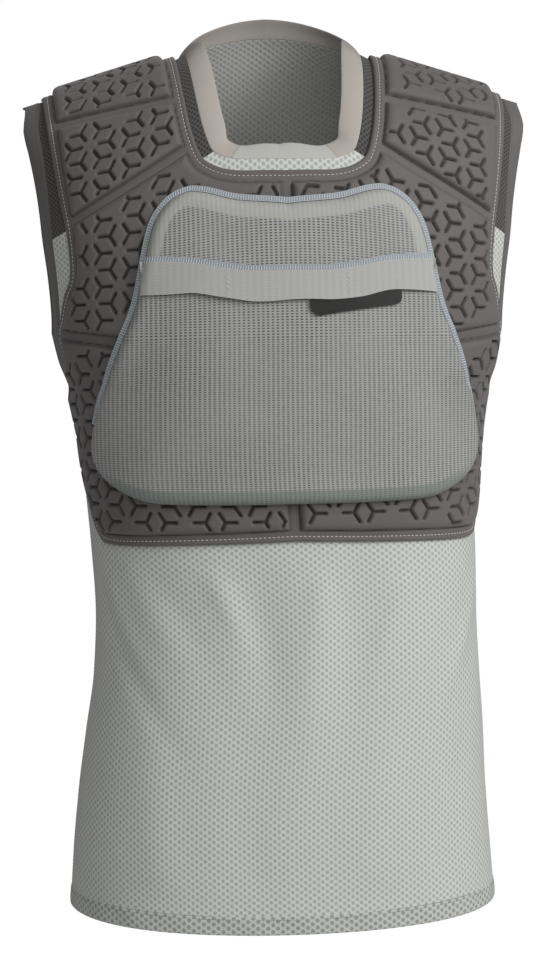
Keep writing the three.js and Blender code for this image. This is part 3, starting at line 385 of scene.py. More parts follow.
def surface(angle, level):
    """Point of the body at an angle from the centre front and at a level of the pattern."""
    angle, level = np.broadcast_arrays(np.asarray(angle, float), np.asarray(level, float))
    side = (np.sin(angle) + OVAL_FULLNESS * np.sin(3 * angle)) / (1 - OVAL_FULLNESS)
    front = (np.cos(angle) - OVAL_FULLNESS * np.cos(3 * angle)) / (1 - OVAL_FULLNESS)
    ahead = front > 0
    drop = np.maximum(0, (CHEST_LEVEL - level) / CHEST_TO_HEM)
    depth = np.where(
        ahead,
        CHEST_FRONT * read_table(TORSO_ROWS, "drop", "front", drop),
        CHEST_BACK * read_table(TORSO_ROWS, "drop", "back", drop),
    )
    low_x = CHEST_HALF_WIDTH * read_table(TORSO_ROWS, "drop", "side", drop) * side
    fold = np.where(ahead, fold_height(FOLD_ROWS, low_x, level), 0)
    rise = np.clip((level - CHEST_LEVEL) / ARCH, 0, 1)
    widening = read_table(SHOULDER_ROWS, "rise", "side", rise)
    high_x = (CHEST_HALF_WIDTH + (SHOULDER_HALF_WIDTH - CHEST_HALF_WIDTH) * widening) * side
    beside = np.minimum(1, np.abs(high_x) / NECK_HALF_WIDTH)
    top = np.where(front < 0, BACK_NECK_REACH * np.maximum(0, 1 - beside**2) ** BACK_NECK_CURVE, 0)
    quarter = math.pi / 2
    lean = np.where(front < 0, BACK_NECK_LEAN + (quarter - BACK_NECK_LEAN) * beside**2, quarter)
    turn = np.interp(rise * ARCH, ARCH_LENGTHS, np.linspace(0, 1, ARCH_STEPS + 1)) * lean
    base = -depth * front
    high_y = base + (top - base) * (1 - np.cos(turn)) / (1 - np.cos(lean))
    high_z = CHEST_LEVEL + (shoulder_height(high_x) - CHEST_LEVEL) * np.sin(turn) / np.sin(lean)
    low = level <= CHEST_LEVEL
    x = np.where(low, low_x, high_x) + read_table(TORSO_ROWS, "drop", "sway", drop)
    y = np.where(low, -(depth + fold) * front, high_y)
    z = np.where(low, level, high_z)
    return np.stack([x, y, z], -1)


# Lengths round the body at each level, and the angles at even shares of them
LEVELS = np.linspace(HEM - 30, TOP, 400)
ANGLES = np.linspace(0, math.pi, 241)
SHARES = np.linspace(0, 1, 241)
ring_points = surface(ANGLES[None, :], LEVELS[:, None])
ring_steps = np.linalg.norm(np.diff(ring_points, axis=1), axis=2)
RINGS = np.concatenate([np.zeros((len(LEVELS), 1)), np.cumsum(ring_steps, axis=1)], axis=1)
ANGLE_TABLE = np.array([np.interp(SHARES * ring[-1], ring, ANGLES) for ring in RINGS])


def half_length(level):
    """Length round the body from the centre front to the centre back."""
    return np.interp(level, LEVELS, RINGS[:, -1])


def side_length(level):
    """Length round the body from the centre front to the side line."""
    return np.interp(level, LEVELS, RINGS[:, len(ANGLES) // 2])


def back_side_length(level):
    """Length round the body from the centre back to the side line."""
    return half_length(level) - side_length(level)


def angle_at(length, level):
    """Angle at a length round from the centre front."""
    share = np.clip(length / half_length(level), 0, 1) * (len(SHARES) - 1)
    row = np.clip((level - LEVELS[0]) / (LEVELS[1] - LEVELS[0]), 0, len(LEVELS) - 1.001)
    i, k = row.astype(int), np.minimum(share.astype(int), len(SHARES) - 2)
    u, v = row - i, share - k
    low = ANGLE_TABLE[i, k] * (1 - v) + ANGLE_TABLE[i, k + 1] * v
    high = ANGLE_TABLE[i + 1, k] * (1 - v) + ANGLE_TABLE[i + 1, k + 1] * v
    return low * (1 - u) + high * u


def front_place(across, up):
    """Front pattern: length round from the centre front, and height up the body."""
    length = np.abs(across)
    level = np.where(up > TOP, 2 * TOP - up, up)
    over = side_length(level) + side_length(TOP) - length
    return surface(np.sign(across) * angle_at(np.where(up > TOP, over, length), level), level)


def back_place(across, up):
    """Back pattern, as seen from behind: length round from the centre back."""
    angle = angle_at(half_length(up) - np.abs(across), up)
    return surface(np.where(across > 0, -angle, angle), up)


NORMAL_STEP = 2


def on_body(place, flat, out):
    """Points in metres over the body, from pattern points and heights, and their normals."""
    across, up = np.asarray(flat, float).T
    along = place(across + NORMAL_STEP, up) - place(across - NORMAL_STEP, up)
    rise = place(across, up + NORMAL_STEP) - place(across, up - NORMAL_STEP)
    normal = np.cross(along, rise)
    normal /= np.maximum(np.linalg.norm(normal, axis=1, keepdims=True), 1e-9)
    out = np.broadcast_to(np.asarray(out, float), across.shape)
    return (place(across, up) + normal * out[:, None]) * MM, normal


# ---- Flat lines and outlines ----


def spline(points, steps):
    """Points along a smooth curve through the given ones."""
    points = np.asarray(points, float)
    last = len(points) - 1
    share = np.linspace(0, last, steps + 1)
    row = np.minimum(share.astype(int), last - 1)
    t = (share - row)[:, None]
    before, start = points[np.maximum(row - 1, 0)], points[row]
    end, after = points[row + 1], points[np.minimum(row + 2, last)]
    v0, v1 = (end - before) / 2, (after - start) / 2
    cubic = (2 * start - 2 * end + v0 + v1) * t**3
    return cubic + (-3 * start + 3 * end - 2 * v0 - v1) * t**2 + v0 * t + start


def beside_line(line, offset, first=None, last=None):
    """Line moved to its right by an offset, with its end directions if they are given."""
    along = np.gradient(line, axis=0)
    if first is not None:
        along[0] = first
    if last is not None:
        along[-1] = last
    along /= np.linalg.norm(along, axis=1, keepdims=True)
    return line + offset * np.stack([along[:, 1], -along[:, 0]], 1)


def armhole_line(offset, steps=48):
    """Armhole edge moved into the cloth: lengths in from the side line, and levels."""
    points = [
        (row["inset"] * ARMHOLE_INSET, UNDERARM + row["rise"] * ARMHOLE_HEIGHT)
        for row in ARMHOLE_ROWS
    ]
    return beside_line(spline(points, steps), -offset, (0, -1), (-1, 0))


def neck_line(offset, steps=40):
    """Neck seam moved outwards, from the centre front to the shoulder."""
    foot = TOP - FRONT_NECK_DROP
    points = [
        (row["across"] * NECK_HALF_WIDTH, foot + row["rise"] * FRONT_NECK_DROP)
        for row in NECK_ROWS
    ]
    return beside_line(spline(points, steps), offset, (1, 0), (0, 1))


def at_level(line, level):
    """Point of a line at a level."""
    for a, b in zip(line[:-1], line[1:]):
        if (a[1] - level) * (b[1] - level) <= 0 and a[1] != b[1]:
            return a + (b - a) * (level - a[1]) / (b[1] - a[1])
    return line[-1]


def mirrored(points):
    """Closed outline from its right half, listed from the top centre to the foot."""
    right = np.array(points, float)
    left = right[right[:, 0] > 0.3] * (-1, 1)
    return np.concatenate([right, left[::-1]])


def side_line(side, start, end):
    levels = np.linspace(start, end, 60)
    return np.stack([side(levels), levels], 1)


def hem_level(angle, raised):
    return HEM + raised - HEM_DIP * np.maximum(0, np.cos(angle)) ** 2


def hem_seam(side, dips):
    share = np.linspace(1, 0, 25)
    angle = share * math.pi / 2 if dips else np.full(25, math.pi)
    return np.stack([side(HEM + HEM_WIDTH) * share, hem_level(angle, HEM_WIDTH)], 1)


def inside(points, loop):
    """Which points lie inside a closed outline."""
    found = np.zeros(len(points), bool)
    x, y = points[:, 0], points[:, 1]
    for (x0, y0), (x1, y1) in zip(loop, np.roll(loop, -1, 0)):
        if y0 != y1:
            cross = (y0 > y) != (y1 > y)
            found ^= cross & (x < (x1 - x0) * (y - y0) / (y1 - y0) + x0)
    return found


def to_line(points, line, closed=True):
    """Distance from each point to a line of points, and the nearest point on it."""
    best = np.full(len(points), 1e9)
    nearest = np.zeros((len(points), 2))
    ends = np.roll(line, -1, 0) if closed else line[1:]
    for start, end in zip(line, ends):
        along = end - start
        square = along @ along
        if square < 1e-9:
            continue
        share = np.clip((points - start) @ along / square, 0, 1)
        foot = start + share[:, None] * along
        away = np.hypot(*(points - foot).T)
        closer = away < best
        best[closer] = away[closer]
        nearest[closer] = foot[closer]
    return best, nearest


def resampled(line, step, closed=False):
    """Even points along a line."""
    if closed:
        line = np.concatenate([line, line[:1]])
    lengths = np.concatenate([[0], np.cumsum(np.hypot(*np.diff(line, axis=0).T))])
    count = max(2, int(round(lengths[-1] / step)) + 1)
    at = np.linspace(0, lengths[-1], count)
    if closed:
        at = at[:-1]
    return np.stack([np.interp(at, lengths, line[:, i]) for i in range(line.shape[1])], 1)


def inset(loop, distance, step=1.0):
    """Closed outline moved in by a distance."""
    line = resampled(loop, step, closed=True)
    along = np.roll(line, -1, 0) - np.roll(line, 1, 0)
    along /= np.maximum(np.hypot(*along.T)[:, None], 1e-9)
    x, y = line.T
    turn = np.sign(np.sum(x * np.roll(y, -1) - y * np.roll(x, -1)))
    moved = line + distance * turn * np.stack([-along[:, 1], along[:, 0]], 1)
    away, _ = to_line(moved, loop)
    return moved[away > 0.97 * distance]


NECK_EDGE = neck_line(0)
ARM_CUT = armhole_line(BINDING_WIDTH)
ARM_INSETS, ARM_LEVELS = np.maximum(ARM_CUT[:, 0], 0), ARM_CUT[:, 1]
FRONT_ARM = np.stack([side_length(ARM_LEVELS) - ARM_INSETS, ARM_LEVELS], 1)
BACK_ARM = np.stack([back_side_length(ARM_LEVELS) - ARM_INSETS, ARM_LEVELS], 1)
SEAM_AT_NECK = at_level(NECK_EDGE, YOKE_SEAM_NECK)
SEAM_AT_ARM = at_level(FRONT_ARM, YOKE_SEAM_ARM)
NECK_TOP_ACROSS = neck_line(SEAM_GAP)[-1, 0]

SHIRT_FRONT = mirrored([
    *NECK_EDGE[NECK_EDGE[:, 1] < YOKE_SEAM_NECK],
    SEAM_AT_NECK,
    SEAM_AT_ARM,
    *FRONT_ARM[FRONT_ARM[:, 1] < YOKE_SEAM_ARM],
    *side_line(side_length, UNDERARM - BINDING_WIDTH, HEM + 2 * HEM_WIDTH),
    *hem_seam(side_length, True),
])

YOKE_END = at_level(ARM_CUT, TOP - YOKE_LAP)
YOKE = np.array([
    SEAM_AT_NECK,
    *NECK_EDGE[NECK_EDGE[:, 1] > YOKE_SEAM_NECK],
    (NECK_TOP_ACROSS, TOP + YOKE_LAP),
    (side_length(TOP) - YOKE_END[0], TOP + YOKE_LAP),
    *FRONT_ARM[(FRONT_ARM[:, 1] > YOKE_SEAM_ARM)],
    SEAM_AT_ARM,
])

BACK_NECK_SIDE = back_side_length(TOP) - (side_length(TOP) - NECK_TOP_ACROSS)
BACK_YOKE_SEAM = TOP - YOKE_LAP


def back_yoke_inner(level):
    return back_side_length(level) - (side_length(TOP) - NECK_TOP_ACROSS)


SHIRT_BACK = mirrored([
    (0, TOP - SEAM_GAP),
    (back_yoke_inner(TOP), TOP - SEAM_GAP),
    (back_yoke_inner(BACK_YOKE_SEAM), BACK_YOKE_SEAM),
    at_level(BACK_ARM, BACK_YOKE_SEAM),
    *BACK_ARM[BACK_ARM[:, 1] < BACK_YOKE_SEAM],
    *side_line(back_side_length, UNDERARM - BINDING_WIDTH, HEM + 2 * HEM_WIDTH),
    *hem_seam(back_side_length, False),
])


def panel_outline():
    neck = neck_line(SEAM_GAP + FLANGE_AT_NECK)
    neck = neck[neck[:, 1] <= TOP]
    arm = []
    for row in PANEL_ARM_ROWS:
        level = UNDERARM + row["rise"] * ARMHOLE_HEIGHT
        in_from_side = at_level(ARM_CUT, min(level, ARM_CUT[0, 1]))[0]
        arm.append((side_length(level) - in_from_side - row["gap"] * BINDING_WIDTH, level))
    under = armhole_line(BINDING_WIDTH + 2 * SEAM_GAP)
    under = np.stack([side_length(under[:, 1]) - under[:, 0], under[:, 1]], 1)
    before_side = under[:, 0] < SIDE_SHARE * side_length(under[:, 1])
    under = under[(under[:, 1] < arm[-1][1] - 4) & before_side]
    reach = UNDERARM - PANEL_FOOT
    foot = [
        (row["across"] * PANEL_HALF_WIDTH, PANEL_FOOT + row["rise"] * reach)
        for row in PANEL_FOOT_ROWS
    ]
    return mirrored([
        *neck,
        (neck[-1, 0], TOP + SHOULDER_LAP - LAP_CORNER),
        (neck[-1, 0] + LAP_CORNER, TOP + SHOULDER_LAP),
        (arm[0][0] - LAP_CORNER, TOP + SHOULDER_LAP),
        (arm[0][0], TOP + SHOULDER_LAP - LAP_CORNER),
        *spline(arm, 40),
        *under,
        *spline(foot, 40),
    ])


PANEL = panel_outline()
POCKET_POINTS = [
    (row["across"] * POCKET_HALF_WIDTH, POCKET_TOP - row["drop"] * POCKET_HEIGHT)
    for row in POCKET_ROWS
]
POCKET_HALF = spline(POCKET_POINTS, 90)
POCKET = mirrored(POCKET_HALF)


def band_level(across, name):
    share = np.abs(across) / POCKET_HALF_WIDTH
    return POCKET_TOP - read_table(BAND_ROWS, "across", name, share) * POCKET_HEIGHT


def pocket_side(level):
    return at_level(POCKET_HALF[15:], level)[0]


# ---- Meshes ----


def tidy_mask(mask):
    """Fills cells so that no two kept ones touch at a corner only."""
    for _ in range(4):
        a, b = mask[:-1, :-1], mask[1:, 1:]
        c, d = mask[:-1, 1:], mask[1:, :-1]
        bad = (a & b & ~c & ~d) | (c & d & ~a & ~b)
        if not bad.any():
            break
        mask[:-1, :-1] |= bad
        mask[1:, 1:] |= bad
        mask[:-1, 1:] |= bad
        mask[1:, :-1] |= bad
    return mask


def cells(outline, step, hole=None):
    """Even quads over a flat outline, with the edge drawn onto it. Returns the points, the
    quads and the closed loops of the edge, the outer one first."""
    low = outline.min(0) - step
    columns, rows = (np.ceil((outline.max(0) - low) / step).astype(int) + 1)
    x, y = np.meshgrid(np.arange(columns) + 0.5, np.arange(rows) + 0.5)
    centres = low + step * np.stack([x.ravel(), y.ravel()], 1)
    kept = inside(centres, outline)
    if hole is not None:
        kept &= ~inside(centres, hole)
    mask = tidy_mask(kept.reshape(rows, columns))
    r, c = np.nonzero(mask)
    width = columns + 1
    corner = r * width + c
    quads = np.stack([corner, corner + 1, corner + width + 1, corner + width], 1)
    used, index = np.unique(quads, return_inverse=True)
    quads = index.reshape(-1, 4)
    points = low + step * np.stack([used % width, used // width], 1)
    loops = edge_loops(quads)
    loops.sort(key=lambda loop: -np.ptp(points[loop][:, 0]))
    line = resampled(outline, step / 3, closed=True)
    rim = np.array(loops[0])
    _, points[rim] = to_line(points[rim], line if len(outline) > 400 else outline)
    before, after = np.roll(outline, 1, 0) - outline, np.roll(outline, -1, 0) - outline
    cosine = (before * after).sum(1) / np.maximum(np.hypot(*before.T) * np.hypot(*after.T), 1e-9)
    for sharp in outline[cosine > -0.8]:
        points[rim[np.argmin(np.hypot(*(points[rim] - sharp).T))]] = sharp
    return points, quads, loops


def edge_loops(faces):
    """Closed loops of the edges that only one face has."""
    starts = faces.ravel()
    ends = np.roll(faces, -1, 1).ravel()
    size = faces.max() + 1
    single = ~np.isin(starts * size + ends, ends * size + starts)
    follow = dict(zip(starts[single].tolist(), ends[single].tolist()))
    loops = []
    while follow:
        first, at = follow.popitem()
        loop = [first]
        while at != first:
            loop.append(at)
            at = follow.pop(at)
        loops.append(loop)
    return loops


def filled(points, loop, step):
    """Coarse triangles that fill a closed loop of points: new inner points and faces. Face
    numbers under the loop's length are the loop's, and the rest are the new points'."""
    rim = points[loop]
    low, high = rim.min(0), rim.max(0)
    columns, rows = (np.arange(low[i] + step / 2, high[i], step) for i in range(2))
    x, y = np.meshgrid(columns, rows)
    inner = np.stack([x.ravel(), y.ravel()], 1)
    inner = inner[inside(inner, rim)]
    inner = inner[to_line(inner, rim[::4])[0] > step / 3]
    coords = [Vector(p) for p in np.concatenate([rim, inner])]
    _, _, faces, origins, _, _ = delaunay_2d_cdt(coords, [], [list(range(len(rim)))], 1, 1e-6)
    names = [origin[0] if origin else -1 for origin in origins]
    faces = [[names[i] for i in face] for face in faces]
    return inner, [face for face in faces if -1 not in face and len(set(face)) == len(face)]


def renumbered(face, loop, start):
    """Face of a filled loop, in the numbers of the whole mesh."""
    return [loop[i] if i < len(loop) else start + i - len(loop) for i in face]


def new_piece(name, points, faces, pattern=None):
    """Mesh object from points in metres. The pattern is each point's place in the cloth."""
    mesh = bpy.data.meshes.new(name)
    mesh.from_pydata(np.asarray(points).tolist(), [], [list(map(int, face)) for face in faces])
    if pattern is not None:
        layer = mesh.attributes.new("pattern", "FLOAT_VECTOR", "POINT")
        layer.data.foreach_set("vector", (np.asarray(pattern, np.float32) * MM).ravel())
    mesh.validate()
    mesh.update()
    piece = bpy.data.objects.new(name, mesh)
    bpy.context.scene.collection.objects.link(piece)
    return piece


def smooth(piece, degrees=50):
    bpy.ops.object.select_all(action="DESELECT")
    piece.select_set(True)
    bpy.context.view_layer.objects.active = piece
    bpy.ops.object.shade_smooth_by_angle(angle=math.radians(degrees))
    piece.select_set(False)


def dressed(piece, material, replaces=(), angle=50):
    """Gives a finished piece its material in a slot, smooth shading and its place under the root body,
    and hides the parts that it replaces.
    """
    piece.data.materials.append(material)
    smooth(piece, angle)
    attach(piece, "root")
    if replaces:
        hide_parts(*replaces)
    return piece


def sheet_mesh(name, place, outline, step, inner, outer, depth=None):
    """Cloth with a wall over an outline. Heights are numbers or functions of the pattern
    points. The pattern's third number is the depth in from the given edge."""
    flat, quads, loops = cells(outline, step)
    count = len(flat)

    def height(value):
        return value(flat) if callable(value) else value

    top, _ = on_body(place, flat, height(outer))
    under, _ = on_body(place, flat, height(inner))
    faces = [*quads, *(quads[:, ::-1] + count)]
    for loop in loops:
        ends = loop[1:] + loop[:1]
        faces += [(b, a, a + count, b + count) for a, b in zip(loop, ends)]
    third = depth(flat) if depth else np.zeros(count)
    pattern = np.concatenate([flat, third[:, None]], 1)
    return new_piece(name, np.concatenate([top, under]), faces, np.tile(pattern, (2, 1)))


def ring_mesh(name, sections, pattern):
    """Closed ring through sections, each a loop of the same number of points."""
    count, sides = sections.shape[:2]
    i, k = np.meshgrid(np.arange(count), np.arange(sides), indexing="ij")
    next_i, next_k = (i + 1) % count, (k + 1) % sides
    corners = [(i, k), (i, next_k), (next_i, next_k), (next_i, k)]
    faces = np.stack([row * sides + column for row, column in corners], -1)
    points = sections.reshape(-1, 3) * MM
    return new_piece(name, points, faces.reshape(-1, 4), pattern.reshape(-1, 3))


def stitch_shape():
    """One stitch: a slim rounded grain, a unit long, wide and high."""
    bpy.ops.object.select_all(action="DESELECT")
    bpy.ops.mesh.primitive_uv_sphere_add(
        segments=6, ring_count=5, radius=0.5, rotation=(0, math.pi / 2, 0)
    )
    grain = bpy.context.object
    bpy.ops.object.transform_apply(location=True, rotation=True, scale=True)
    points = np.array([v.co for v in grain.data.vertices])
    points[:, 0] *= 1 - 0.25 * np.abs(points[:, 1]) * 2
    faces = [list(face.vertices) for face in grain.data.polygons]
    mesh = grain.data
    bpy.data.objects.remove(grain)
    bpy.data.meshes.remove(mesh)
    return points, faces


def stitch_rows(name, rows, material):
    """Rows of stitches. Each row is a chart, a line on it, a height, the stitches' length,
    pitch and thickness, and how far each one is turned from the line."""
    shape, shape_faces = stitch_shape()
    points, faces = [], []
    count = 0
    for place, line, out, length, pitch, thick, turn in rows:
        line = resampled(np.asarray(line, float), pitch)
        middle = (line[1:] + line[:-1]) / 2
        step = 0.5
        along = line[1:] - line[:-1]
        along /= np.maximum(np.hypot(*along.T)[:, None], 1e-9)
        turned = math.cos(turn) * along + math.sin(turn) * np.stack([-along[:, 1], along[:, 0]], 1)
        height = out(middle) if callable(out) else out
        centre, normal = on_body(place, middle, height)
        ahead, _ = on_body(place, middle + turned * step, height)
        direction = ahead - centre
        direction /= np.maximum(np.linalg.norm(direction, axis=1, keepdims=True), 1e-9)
        beside = np.cross(normal, direction)
        size = np.array([length, thick, thick]) * MM
        axes = np.stack([direction, beside, normal], 1) * size[None, :, None]
        placed = centre[:, None] + shape @ axes
        points.append(placed.reshape(-1, 3))
        for i in range(len(middle)):
            start = count + i * len(shape)
            faces += [[start + k for k in face] for face in shape_faces]
        count += len(middle) * len(shape)
    piece = new_piece(name, np.concatenate(points), faces)
    return dressed(piece, material, angle=180)


# ---- Finishes ----


class Value:
    """A socket that sums, products and comparisons can be written with."""

    def __init__(self, finish, socket):
        self.finish = finish
        self.socket = socket

    def _math(self, operation, *others):
        return self.finish.math(operation, self, *others)

    def __add__(self, other):
        return self._math("ADD", other)

    __radd__ = __add__

    def __sub__(self, other):
        return self._math("SUBTRACT", other)

    def __rsub__(self, other):
        return self.finish.math("SUBTRACT", other, self)

    def __mul__(self, other):
        return self._math("MULTIPLY", other)

    __rmul__ = __mul__

    def __truediv__(self, other):
        return self._math("DIVIDE", other)

    def __pow__(self, other):
        return self._math("POWER", other)

    def least(self, other):
        return self._math("MINIMUM", other)

    def most(self, other):
        return self._math("MAXIMUM", other)

    def root(self):
        return self._math("SQRT")

    def wave(self):
        return self._math("SINE")

    def to_whole(self):
        """Distance to the nearest whole number."""
        return self._math("PINGPONG", 0.5)


class Finish:
    """Material of one kind of cloth, foam, thread or tape."""

    def __init__(self, name, roughness, sheen=0.0):
        self.material = bpy.data.materials.new(name)
        self.material.use_nodes = True
        self.tree = self.material.node_tree
        self.shader = self.tree.nodes["Principled BSDF"]
        self.shader.inputs["Roughness"].default_value = roughness
        self.shader.inputs["Specular IOR Level"].default_value = 0.3
        self.shader.inputs["Sheen Weight"].default_value = sheen

    def node(self, kind, settings=None, inputs=None, output=0):
        """One node: its settings first, then the values or links of its sockets."""
        made = self.tree.nodes.new(kind)
        for key, value in (settings or {}).items():
            setattr(made, key, value)
        for key, value in (inputs or {}).items():
            if isinstance(value, Value):
                self.tree.links.new(value.socket, made.inputs[key])
            else:
                made.inputs[key].default_value = value
        return Value(self, made.outputs[output])

    def math(self, operation, *values):
        return self.node("ShaderNodeMath", {"operation": operation}, dict(enumerate(values)))

    def pattern(self):
        """Place in the cloth, in millimetres: across, up, and the depth in from its edge; on the foam
        panel the third number is the share of painted shade in its grooves and creases.
        """
        place = self.node("ShaderNodeAttribute", {"attribute_name": "pattern"}, output=1)
        parts = self.node("ShaderNodeSeparateXYZ", None, {0: place}).socket.node
        return [Value(self, parts.outputs[i]) * 1000 for i in range(3)]

    def object_place(self):
        return self.node("ShaderNodeTexCoord", output=3)

    def noise(self, scale, detail=2.0, at=None):
        place = at or self.object_place()
        inputs = {"Vector": place, "Scale": scale, "Detail": detail}
        return self.node("ShaderNodeTexNoise", None, inputs)

    def step(self, value, low, high):
        """0 below low, 1 above high, and smooth between."""
        inputs = {"Value": value, "From Min": low, "From Max": high}
        return self.node("ShaderNodeMapRange", {"interpolation_type": "SMOOTHSTEP"}, inputs)

    def mix(self, share, first, second):
        """Colour mix."""
        settings = {"data_type": "RGBA"}
        inputs = {0: share, 6: first, 7: second}
        return self.node("ShaderNodeMix", settings, inputs, output=2)

    def bump(self, height, distance, strength=1.0):
        inputs = {"Height": height, "Distance": distance * MM, "Strength": strength}
        return self.node("ShaderNodeBump", None, inputs)

    def use(self, colour, normal=None, roughness=None):
        self.tree.links.new(colour.socket, self.shader.inputs["Base Color"])
        if normal is not None:
            self.tree.links.new(normal.socket, self.shader.inputs["Normal"])
        if roughness is not None:
            self.tree.links.new(roughness.socket, self.shader.inputs["Roughness"])
        return self.material


def linear(colour):
    """Colour as seen, as the shader's numbers."""
    return [((c + 0.055) / 1.055) ** 2.4 if c > 0.04045 else c / 12.92 for c in colour]


def shade(colour, factor):
    return [*(c * factor for c in colour[:3]), 1.0]


def hex_cells(across, up, wide, high):
    """Distance to the nearest of staggered holes, in millimetres."""
    x = (across / wide).to_whole() * wide
    y = (up / high).to_whole() * high
    other_x, other_y = wide / 2 - x, high / 2 - y
    return (x * x + y * y).least(other_x * other_x + other_y * other_y).root()


def knit_finish(name, colour, hole, knit):
    """Knitted mesh with staggered round cells."""
    finish = Finish(name, 0.85, sheen=0.15)
    across, up, _ = finish.pattern()
    blur = finish.noise(90.0)
    away = hex_cells(across + (blur - 0.5) * 0.8, up, knit["wide"], knit["high"])
    cell = 1 - finish.step(away, knit["radius"] - 0.7, knit["radius"] + 0.6)
    yarn = ((across + up * 0.5) * 7.0).wave() * 0.5 + 0.5
    patch = finish.noise(14.0, 3.0)
    share = cell * knit["contrast"] + (1 - yarn) * 0.06 + (patch - 0.5) * 0.1
    tone = finish.mix(share, shade(colour, 1.0), shade(hole, 1.0))
    height = (1 - cell) * 0.8 + yarn * 0.2
    return finish.use(tone, finish.bump(height, knit["depth"], 0.7))


def pocket_finish(colour, hole, border, foot):
    """Fine knitted mesh with rows of short flat holes, solid and ribbed along its top edge."""
    finish = Finish("pocket_knit", 0.8, sheen=0.1)
    across, up, depth = finish.pattern()
    wide, high = POCKET_PITCH
    x = (across / wide).to_whole() * wide
    y = (up / high).to_whole() * high
    stray = finish.noise(260.0) * 0.5
    away = ((x / POCKET_HOLE[0]) ** 2 + (y / POCKET_HOLE[1]) ** 2).root() + stray - 0.25
    edge = 1 - finish.step(depth, 10.5, 13.0)
    top = edge * finish.step(up, -178.0, -150.0)
    low = edge * (1 - finish.step(up, -316.0, -300.0))
    patch = finish.noise(22.0, 3.0)
    thick = finish.noise(9.0, 3.0)
    openings = (1 - finish.step(away, 0.7, 1.3)) * (1 - top * 0.95) * (1 - low * 0.5)
    openings = openings * (0.75 + (thick - 0.5) * 1.1)
    rib = (across * (2 * math.pi / wide)).wave() * 0.5 + 0.5
    worn = (patch - 0.5) * 0.4 + (1 - rib) * 0.05
    plain = finish.mix(worn, shade(colour, 1.0), shade(colour, 0.45))
    plain = finish.mix(low, plain, shade(foot, 1.0))
    furrow = (1 - rib) * 0.3 + (patch - 0.5) * 0.3
    ribbed = finish.mix(furrow, shade(border, 1.0), shade(colour, 0.7))
    base = finish.mix(top, plain, ribbed)
    tone = finish.mix(openings, base, shade(hole, 1.0))
    height = (1 - openings) * 0.8 + rib * 0.2
    return finish.use(tone, finish.bump(height, 0.45, 0.8))


def ribbed_finish(name, colour, across_pitch, along_pitch, contrast, roughness=0.75):
    """Elastic or tape with fine ribs along and across it."""
    finish = Finish(name, roughness, sheen=0.15)
    along, across, _ = finish.pattern()
    rib = ((across / across_pitch) * 2 * math.pi).wave() * 0.5 + 0.5
    weave = ((along / along_pitch) * 2 * math.pi).wave() * 0.5 + 0.5
    patch = finish.noise(30.0, 3.0)
    share = (1 - rib) * contrast + (1 - weave) * contrast * 0.6 + (patch - 0.5) * 0.12
    tone = finish.mix(share, shade(colour, 1.06), shade(colour, 0.5))
    height = rib * 0.6 + weave * 0.4
    return finish.use(tone, finish.bump(height, 0.25, 0.6))


def tape_finish(colour, front):
    """Smooth folded tape, paler over the front of the neck, where its length starts, with a thin
    painted shadow line where the paler front ends and painted shade over the back of the neck.
    """
    finish = Finish("tape_knit", 0.75, sheen=0.15)
    along, across, _ = finish.pattern()
    weave = (along * 5.2).wave() * 0.5 + 0.5
    patch = finish.noise(34.0, 3.0)
    ahead = 1 - finish.step(along, 41.0, 42.5)
    # Painted shadow: a thin dark line where the paler front of the tape ends
    fold = ahead * finish.step(along, 39.0, 42.0)
    base = finish.mix(ahead, shade(colour, 1.0), shade(front, 1.0))
    base = finish.mix(fold * 0.5, base, shade(colour, 0.3))
    # Painted shade: the tape is darker over the back of the neck, where its inner face is in shade
    behind = finish.step(along, 150.0, 175.0)
    base = finish.mix(behind, base, shade(colour, 0.72))
    share = (1 - weave) * 0.1 + (patch - 0.5) * 0.2
    tone = finish.mix(share, base, shade(colour, 0.5))
    return finish.use(tone, finish.bump(weave, 0.15, 0.5))


def foam_finish(name, colour):
    """Foam under a brushed knitted skin, with painted shade down in its embossed grooves and along its
    hinge creases.
    """
    finish = Finish(name, 0.72, sheen=0.2)
    groove_shade = finish.pattern()[2]
    patch = finish.noise(11.0, 4.0)
    grain = finish.noise(1400.0, 2.0)
    streak = finish.noise(300.0, 3.0)
    share = (patch - 0.5) * 0.35 + (grain - 0.5) * 0.3 + (streak - 0.5) * 0.25 + 0.1
    skin = finish.mix(share, shade(colour, 1.1), shade(colour, 0.45))
    # Painted shade: the skin is darkened down in the grooves and along the creases
    tone = finish.mix(groove_shade.least(1.0) * 0.85, skin, shade(colour, 0.22))
    height = grain * 0.6 + streak * 0.4
    roughness = 0.66 + (patch - 0.5) * 0.16
    return finish.use(tone, finish.bump(height, 0.18, 0.5), roughness)


def thread_finish(name, colour):
    """Twisted sewing thread."""
    finish = Finish(name, 0.55, sheen=0.2)
    grain = finish.noise(2200.0, 2.0)
    tone = finish.mix(grain * 0.6, shade(colour, 1.15), shade(colour, 0.6))
    return finish.use(tone, finish.bump(grain, 0.12, 0.5))


def label_finish(colour):
    """Close satin weave of a bare label."""
    finish = Finish("label_weave", 0.5)
    across, up, _ = finish.pattern()
    weave = (across * 9.0).wave() * (up * 9.0).wave() * 0.5 + 0.5
    patch = finish.noise(60.0)
    tone = finish.mix(weave * 0.3 + (patch - 0.5) * 0.2, shade(colour, 0.85), shade(colour, 1.7))
    return finish.use(tone, finish.bump(weave, 0.12, 0.5))


# ---- Settings ----


def colour_prop(name, text, colour):
    """Colour setting, given as it is seen."""
    return FloatVectorProperty(
        name=name, description=text, subtype="COLOR", size=3, min=0, max=1, default=linear(colour)
    )


def length_prop(name, text, metres, least=0.0):
    """Length setting."""
    return FloatProperty(
        name=name, description=text, subtype="DISTANCE", precision=4, min=least, default=metres
    )


def strength_prop(name, text, value):
    """Strength setting of a light."""
    return FloatProperty(name=name, description=text, min=0, default=value)


